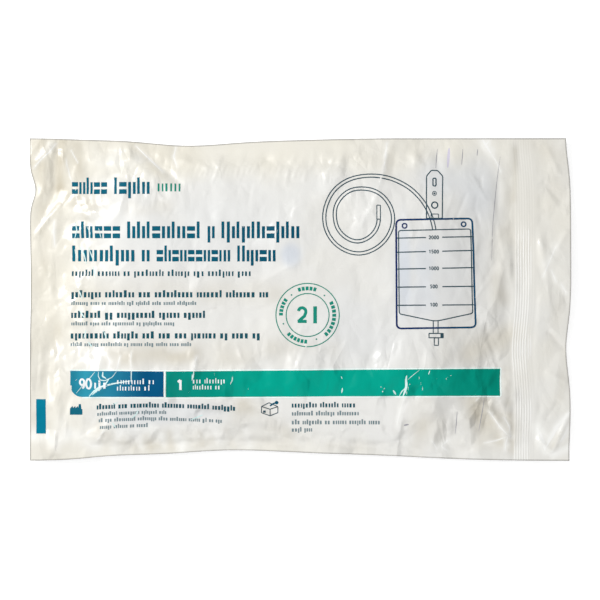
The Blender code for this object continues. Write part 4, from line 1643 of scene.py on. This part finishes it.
def make_pleats(film, inks):
    """Thin dark lines and one lilac line of the folded bag's pleats, seen through the film."""
    pleats, broad = Print(film, rise=0.5 * INK), Print(film, rise=0.4 * INK)
    pleats.strokes(PLEATS)
    broad.stroke(*LILAC_PLEAT)
    pleats.piece("pleat_lines", inks["pleat_shade"])
    broad.piece("lilac_pleat", inks["lilac_shade"])


def fold_drop(px):
    """Drop of the rows under the blue field, which a fold bends: a slow sine."""
    first, half_wave, height = BEND
    return -height * math.sin(math.pi * (px - first) / half_wave)


def make_text_rows(film, inks):
    """Rows of plain bars: a headline of bold shapes, one row in green, bold rows and light rows."""
    head, accent, rows, light = (Print(film) for _ in range(4))
    for row in HEAD_ROWS:
        head.bold_words(*row)
    accent.words(*ACCENT_ROW, pitch=ACCENT_PITCH)
    rows.random_rows(BOLD_ROWS)
    light.random_rows(LIGHT_ROWS)
    head.piece("headline_print", inks["teal_ink"])
    accent.piece("accent_print", inks["ring_ink"])
    rows.piece("bold_rows_print", inks["deep_ink"])
    light.piece("light_rows_print", inks["pale_grey_ink"])


def make_symbols(film, inks):
    """A plain works building with a saw roof, and a plain parcel with an arrow."""
    works, parcel = Print(film), Print(film)
    left, right, base = WORKS
    px = np.linspace(left, right, WORKS_COLUMNS)
    roof, pitch = ROOF
    teeth = roof - pitch * ((px - left) / pitch % 1.0)
    first, last, chimney, behind = CHIMNEY
    tops = np.where(px > first, np.where(px < last, chimney, behind), teeth)
    works.between(px, np.full(WORKS_COLUMNS, base), tops)
    for corners in PARCEL_FACES:
        parcel.outline(corners, *PARCEL_LINE)
    parcel.block(*PARCEL_LABEL)
    (arrow_x, arrow_y), width = ARROW
    works.line(arrow_x, arrow_y, width)
    works.dot(*ARROW_TIP)
    works.piece("works_symbol_print", inks["teal_ink"])
    parcel.piece("parcel_symbol_print", inks["grey_ink"])


def scaled(nodes, links, value, factor):
    """A Math node that multiplies a socket by a number or by another socket."""
    product = nodes.new("ShaderNodeMath")
    product.operation = "MULTIPLY"
    links.new(value, product.inputs[0])
    if isinstance(factor, float):
        product.inputs[1].default_value = factor
    else:
        links.new(factor, product.inputs[1])
    return product.outputs[0]


def noise(nodes, links, place, scale, detail):
    """The outputs of a Noise Texture node that reads a place."""
    texture = nodes.new("ShaderNodeTexNoise")
    texture.inputs["Scale"].default_value = scale
    texture.inputs["Detail"].default_value = detail
    links.new(place, texture.inputs["Vector"])
    return texture.outputs


def ranged(nodes, links, value, source, target):
    """A Map Range node that takes a value from one pair of limits to another."""
    step = nodes.new("ShaderNodeMapRange")
    for name, limit in zip(("From Min", "From Max", "To Min", "To Max"), (*source, *target)):
        step.inputs[name].default_value = limit
    links.new(value, step.inputs["Value"])
    return step.outputs["Result"]


def attribute(nodes, name):
    """The value of a piece's own attribute."""
    reader = nodes.new("ShaderNodeAttribute")
    reader.attribute_name = name
    return reader.outputs["Fac"]


def crinkle_group():
    """Node group: crushed film as flat facets that meet along the edges of random cells.

    The distance to the nearest edge of a cell has straight slopes, and each cell has a random
    steepness, up or down. Three sizes of cell are added, and slow noise fades each in and out.
    Height is in millimetres. Roughness drifts with finer noise between its two limits.
    """
    group = bpy.data.node_groups.new("film_crinkle", "ShaderNodeTree")
    group.interface.new_socket("Amount", in_out="INPUT", socket_type="NodeSocketFloat")
    group.interface.new_socket("Height", in_out="OUTPUT", socket_type="NodeSocketFloat")
    group.interface.new_socket("Roughness", in_out="OUTPUT", socket_type="NodeSocketFloat")
    nodes, links = group.nodes, group.links
    entry, result = nodes.new("NodeGroupInput"), nodes.new("NodeGroupOutput")
    place = nodes.new("ShaderNodeTexCoord").outputs["Object"]
    spread = nodes.new("ShaderNodeMapping")
    spread.inputs["Scale"].default_value = (1.0, CRINKLE_SQUASH, 1.0)
    spread.inputs["Rotation"].default_value = (0.0, 0.0, CRINKLE_TURN)
    links.new(place, spread.inputs["Vector"])
    slow = noise(nodes, links, spread.outputs["Vector"], CRINKLE_DRIFT, 1.0)
    push = nodes.new("ShaderNodeVectorMath")
    push.operation = "MULTIPLY_ADD"
    push.inputs[1].default_value = (CRINKLE_PUSH, CRINKLE_PUSH, 0.0)
    links.new(slow["Color"], push.inputs[0])
    links.new(spread.outputs["Vector"], push.inputs[2])
    total = None
    for size, slope in CRINKLES:
        edges, cells = nodes.new("ShaderNodeTexVoronoi"), nodes.new("ShaderNodeTexVoronoi")
        edges.feature = "DISTANCE_TO_EDGE"
        for texture in (edges, cells):
            texture.voronoi_dimensions = "2D"
            texture.inputs["Scale"].default_value = 1.0 / size
            links.new(push.outputs["Vector"], texture.inputs["Vector"])
        rise = slope * size / MM
        steep = ranged(nodes, links, cells.outputs["Color"], (0.0, 1.0), (-rise, rise))
        fade = noise(nodes, links, place, CRINKLE_PATCH / size, 1.0)
        amount = ranged(nodes, links, fade["Fac"], CRINKLE_FADE, (0.0, 1.0))
        part = scaled(nodes, links, edges.outputs["Distance"], steep)
        part = scaled(nodes, links, part, amount)
        if total is None:
            total = part
        else:
            both = nodes.new("ShaderNodeMath")
            links.new(total, both.inputs[0])
            links.new(part, both.inputs[1])
            total = both.outputs[0]
    links.new(scaled(nodes, links, total, entry.outputs["Amount"]), result.inputs["Height"])
    patchy = noise(nodes, links, place, ROUGHNESS_SCALE, 3.0)
    dull = ranged(nodes, links, patchy["Fac"], ROUGHNESS_NOISE, FILM_ROUGHNESS)
    links.new(dull, result.inputs["Roughness"])
    return group


def finish_material(name, sheen, crinkles):
    """A material with the shared crinkles on its Bump and roughness, and its shader."""
    material = bpy.data.materials.new(name)
    material.use_nodes = True
    nodes, links = material.node_tree.nodes, material.node_tree.links
    shader = nodes["Principled BSDF"]
    shader.inputs["Specular IOR Level"].default_value = sheen
    folds = nodes.new("ShaderNodeGroup")
    folds.node_tree = crinkles
    links.new(attribute(nodes, "rough"), folds.inputs["Amount"])
    links.new(folds.outputs["Roughness"], shader.inputs["Roughness"])
    relief = nodes.new("ShaderNodeBump")
    relief.inputs["Distance"].default_value = MM
    links.new(folds.outputs["Height"], relief.inputs["Height"])
    links.new(relief.outputs["Normal"], shader.inputs["Normal"])
    return material, nodes, links, shader


def mixed(nodes, links, factor, first, second):
    """A Mix node between two colours or colour sockets."""
    mix = nodes.new("ShaderNodeMix")
    mix.data_type = "RGBA"
    links.new(factor, mix.inputs["Factor"])
    for socket, value in ((mix.inputs["A"], first), (mix.inputs["B"], second)):
        if isinstance(value, tuple):
            socket.default_value = (*value, 1.0)
        else:
            links.new(value, socket)
    return mix.outputs["Result"]


def film_material(crinkles):
    """Milky film, creamy on its margins, with the tones of its folds and of what shows through."""
    material, nodes, links, shader = finish_material("milky_film", FILM_SHEEN, crinkles)
    for socket, value in zip(("Coat Weight", "Coat Roughness"), FILM_COAT):
        shader.inputs[socket].default_value = value
    base = FILM_TONE
    for name, tone in FILM_TURNS.items():
        base = mixed(nodes, links, attribute(nodes, name), base, tone)
    links.new(base, shader.inputs["Base Color"])
    return material


def plain_ink(name, first, second, crinkles):
    """Ink whose colour drifts a little between two tones."""
    material, nodes, links, shader = finish_material(name, INK_SHEEN, crinkles)
    place = nodes.new("ShaderNodeTexCoord").outputs["Object"]
    drift = noise(nodes, links, place, INK_DRIFT, 2.0)
    links.new(mixed(nodes, links, drift["Fac"], first, second), shader.inputs["Base Color"])
    return material


def graded_ink(name, stops, crinkles):
    """Ink whose colour runs along X through a few stops, each a pixel and a tone."""
    material, nodes, links, shader = finish_material(name, INK_SHEEN, crinkles)
    first, last = stops[0][0], stops[-1][0]
    parts = nodes.new("ShaderNodeSeparateXYZ")
    links.new(nodes.new("ShaderNodeTexCoord").outputs["Object"], parts.inputs["Vector"])
    ends = [(pixel - PHOTO_CENTRE[0]) * PIXEL for pixel in (first, last)]
    ramp = nodes.new("ShaderNodeValToRGB")
    steps = ramp.color_ramp.elements
    steps[0].color, steps[1].color = (*stops[0][1], 1.0), (*stops[-1][1], 1.0)
    for pixel, tone in stops[1:-1]:
        steps.new((pixel - first) / (last - first)).color = (*tone, 1.0)
    along = ranged(nodes, links, parts.outputs["X"], ends, (0.0, 1.0))
    links.new(along, ramp.inputs["Fac"])
    links.new(ramp.outputs["Color"], shader.inputs["Base Color"])
    return material


def make_floor():
    """A pale floor that is white to the camera and keeps the shadow of the pouch."""
    corners = FLOOR_HALF * np.array([(-1, -1, 0), (1, -1, 0), (1, 1, 0), (-1, 1, 0)])
    floor = make_mesh("floor", corners, [[0, 1, 2, 3]], smooth=False)
    floor.location.z = -FLOOR_DROP
    material = bpy.data.materials.new("pale_floor")
    material.use_nodes = True
    nodes, links = material.node_tree.nodes, material.node_tree.links
    nodes.clear()
    out = nodes.new("ShaderNodeOutputMaterial")
    matte = nodes.new("ShaderNodeBsdfDiffuse")
    matte.inputs["Color"].default_value = (FLOOR_TONE, FLOOR_TONE, FLOOR_TONE, 1.0)
    glow = nodes.new("ShaderNodeEmission")
    rays = nodes.new("ShaderNodeLightPath")
    share = scaled(nodes, links, rays.outputs["Is Camera Ray"], FLOOR_GLOW)
    links.new(share, glow.inputs["Strength"])
    both = nodes.new("ShaderNodeAddShader")
    links.new(matte.outputs[0], both.inputs[0])
    links.new(glow.outputs[0], both.inputs[1])
    links.new(both.outputs[0], out.inputs["Surface"])
    floor.data.materials.append(material)


def make_world():
    """Even white surroundings, brighter where the camera sees them."""
    world = bpy.data.worlds.new("studio")
    bpy.context.scene.world = world
    world.use_nodes = True
    nodes, links = world.node_tree.nodes, world.node_tree.links
    back = nodes["Background"]
    back.inputs["Color"].default_value = (1.0, 1.0, 1.0, 1.0)
    rays = nodes.new("ShaderNodeLightPath")
    seen = rays.outputs["Is Camera Ray"]
    strength = ranged(nodes, links, seen, (0.0, 1.0), (SURROUNDINGS, 1.0))
    links.new(strength, back.inputs["Strength"])


def make_lamp(name, place, size, power):
    """An area lamp at a place, facing the middle of the pouch."""
    data = bpy.data.lights.new(name, "AREA")
    data.shape = "SQUARE"
    data.size = size
    data.energy = power
    lamp = bpy.data.objects.new(name, data)
    lamp.location = place
    across = math.hypot(place[0], place[1])
    lamp.rotation_euler = (0.0, math.atan2(across, place[2]), math.atan2(place[1], place[0]))
    bpy.context.scene.collection.objects.link(lamp)


def make_camera():
    """Straight down, with the photograph's frame at the height of the pouch's edges."""
    data = bpy.data.cameras.new("camera")
    data.sensor_width = SENSOR
    data.lens = data.sensor_width * (CAMERA_DISTANCE - EDGE_LIFT) / (PHOTO_SIZE * PIXEL)
    camera = bpy.data.objects.new("camera", data)
    half = PHOTO_SIZE / 2.0
    camera.location = (
        (half - PHOTO_CENTRE[0]) * PIXEL,
        (PHOTO_CENTRE[1] - half) * PIXEL,
        CAMERA_DISTANCE,
    )
    bpy.context.scene.collection.objects.link(camera)
    bpy.context.scene.camera = camera


make_camera()
film = Film()
crinkles = crinkle_group()

pouch = make_film(film)
pouch.data.materials.append(film_material(crinkles))
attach(pouch, "root")
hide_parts("sealed_pouch")

inks = {name: plain_ink(name, *tones, crinkles) for name, tones in PLAIN_INKS.items()}
inks |= {name: graded_ink(name, stops, crinkles) for name, stops in GRADED_INKS.items()}
make_fields(film, inks)
make_whitened_and_lit_creases(film, inks)
make_pleats(film, inks)
make_text_rows(film, inks)
make_symbols(film, inks)
make_volume_ring(film, inks)
make_line_figure(film, inks)

make_floor()
make_world()
for name, (place, size, power) in LAMPS.items():
    make_lamp(name, place, size, power)
bpy.context.scene.view_settings.view_transform = "Standard"
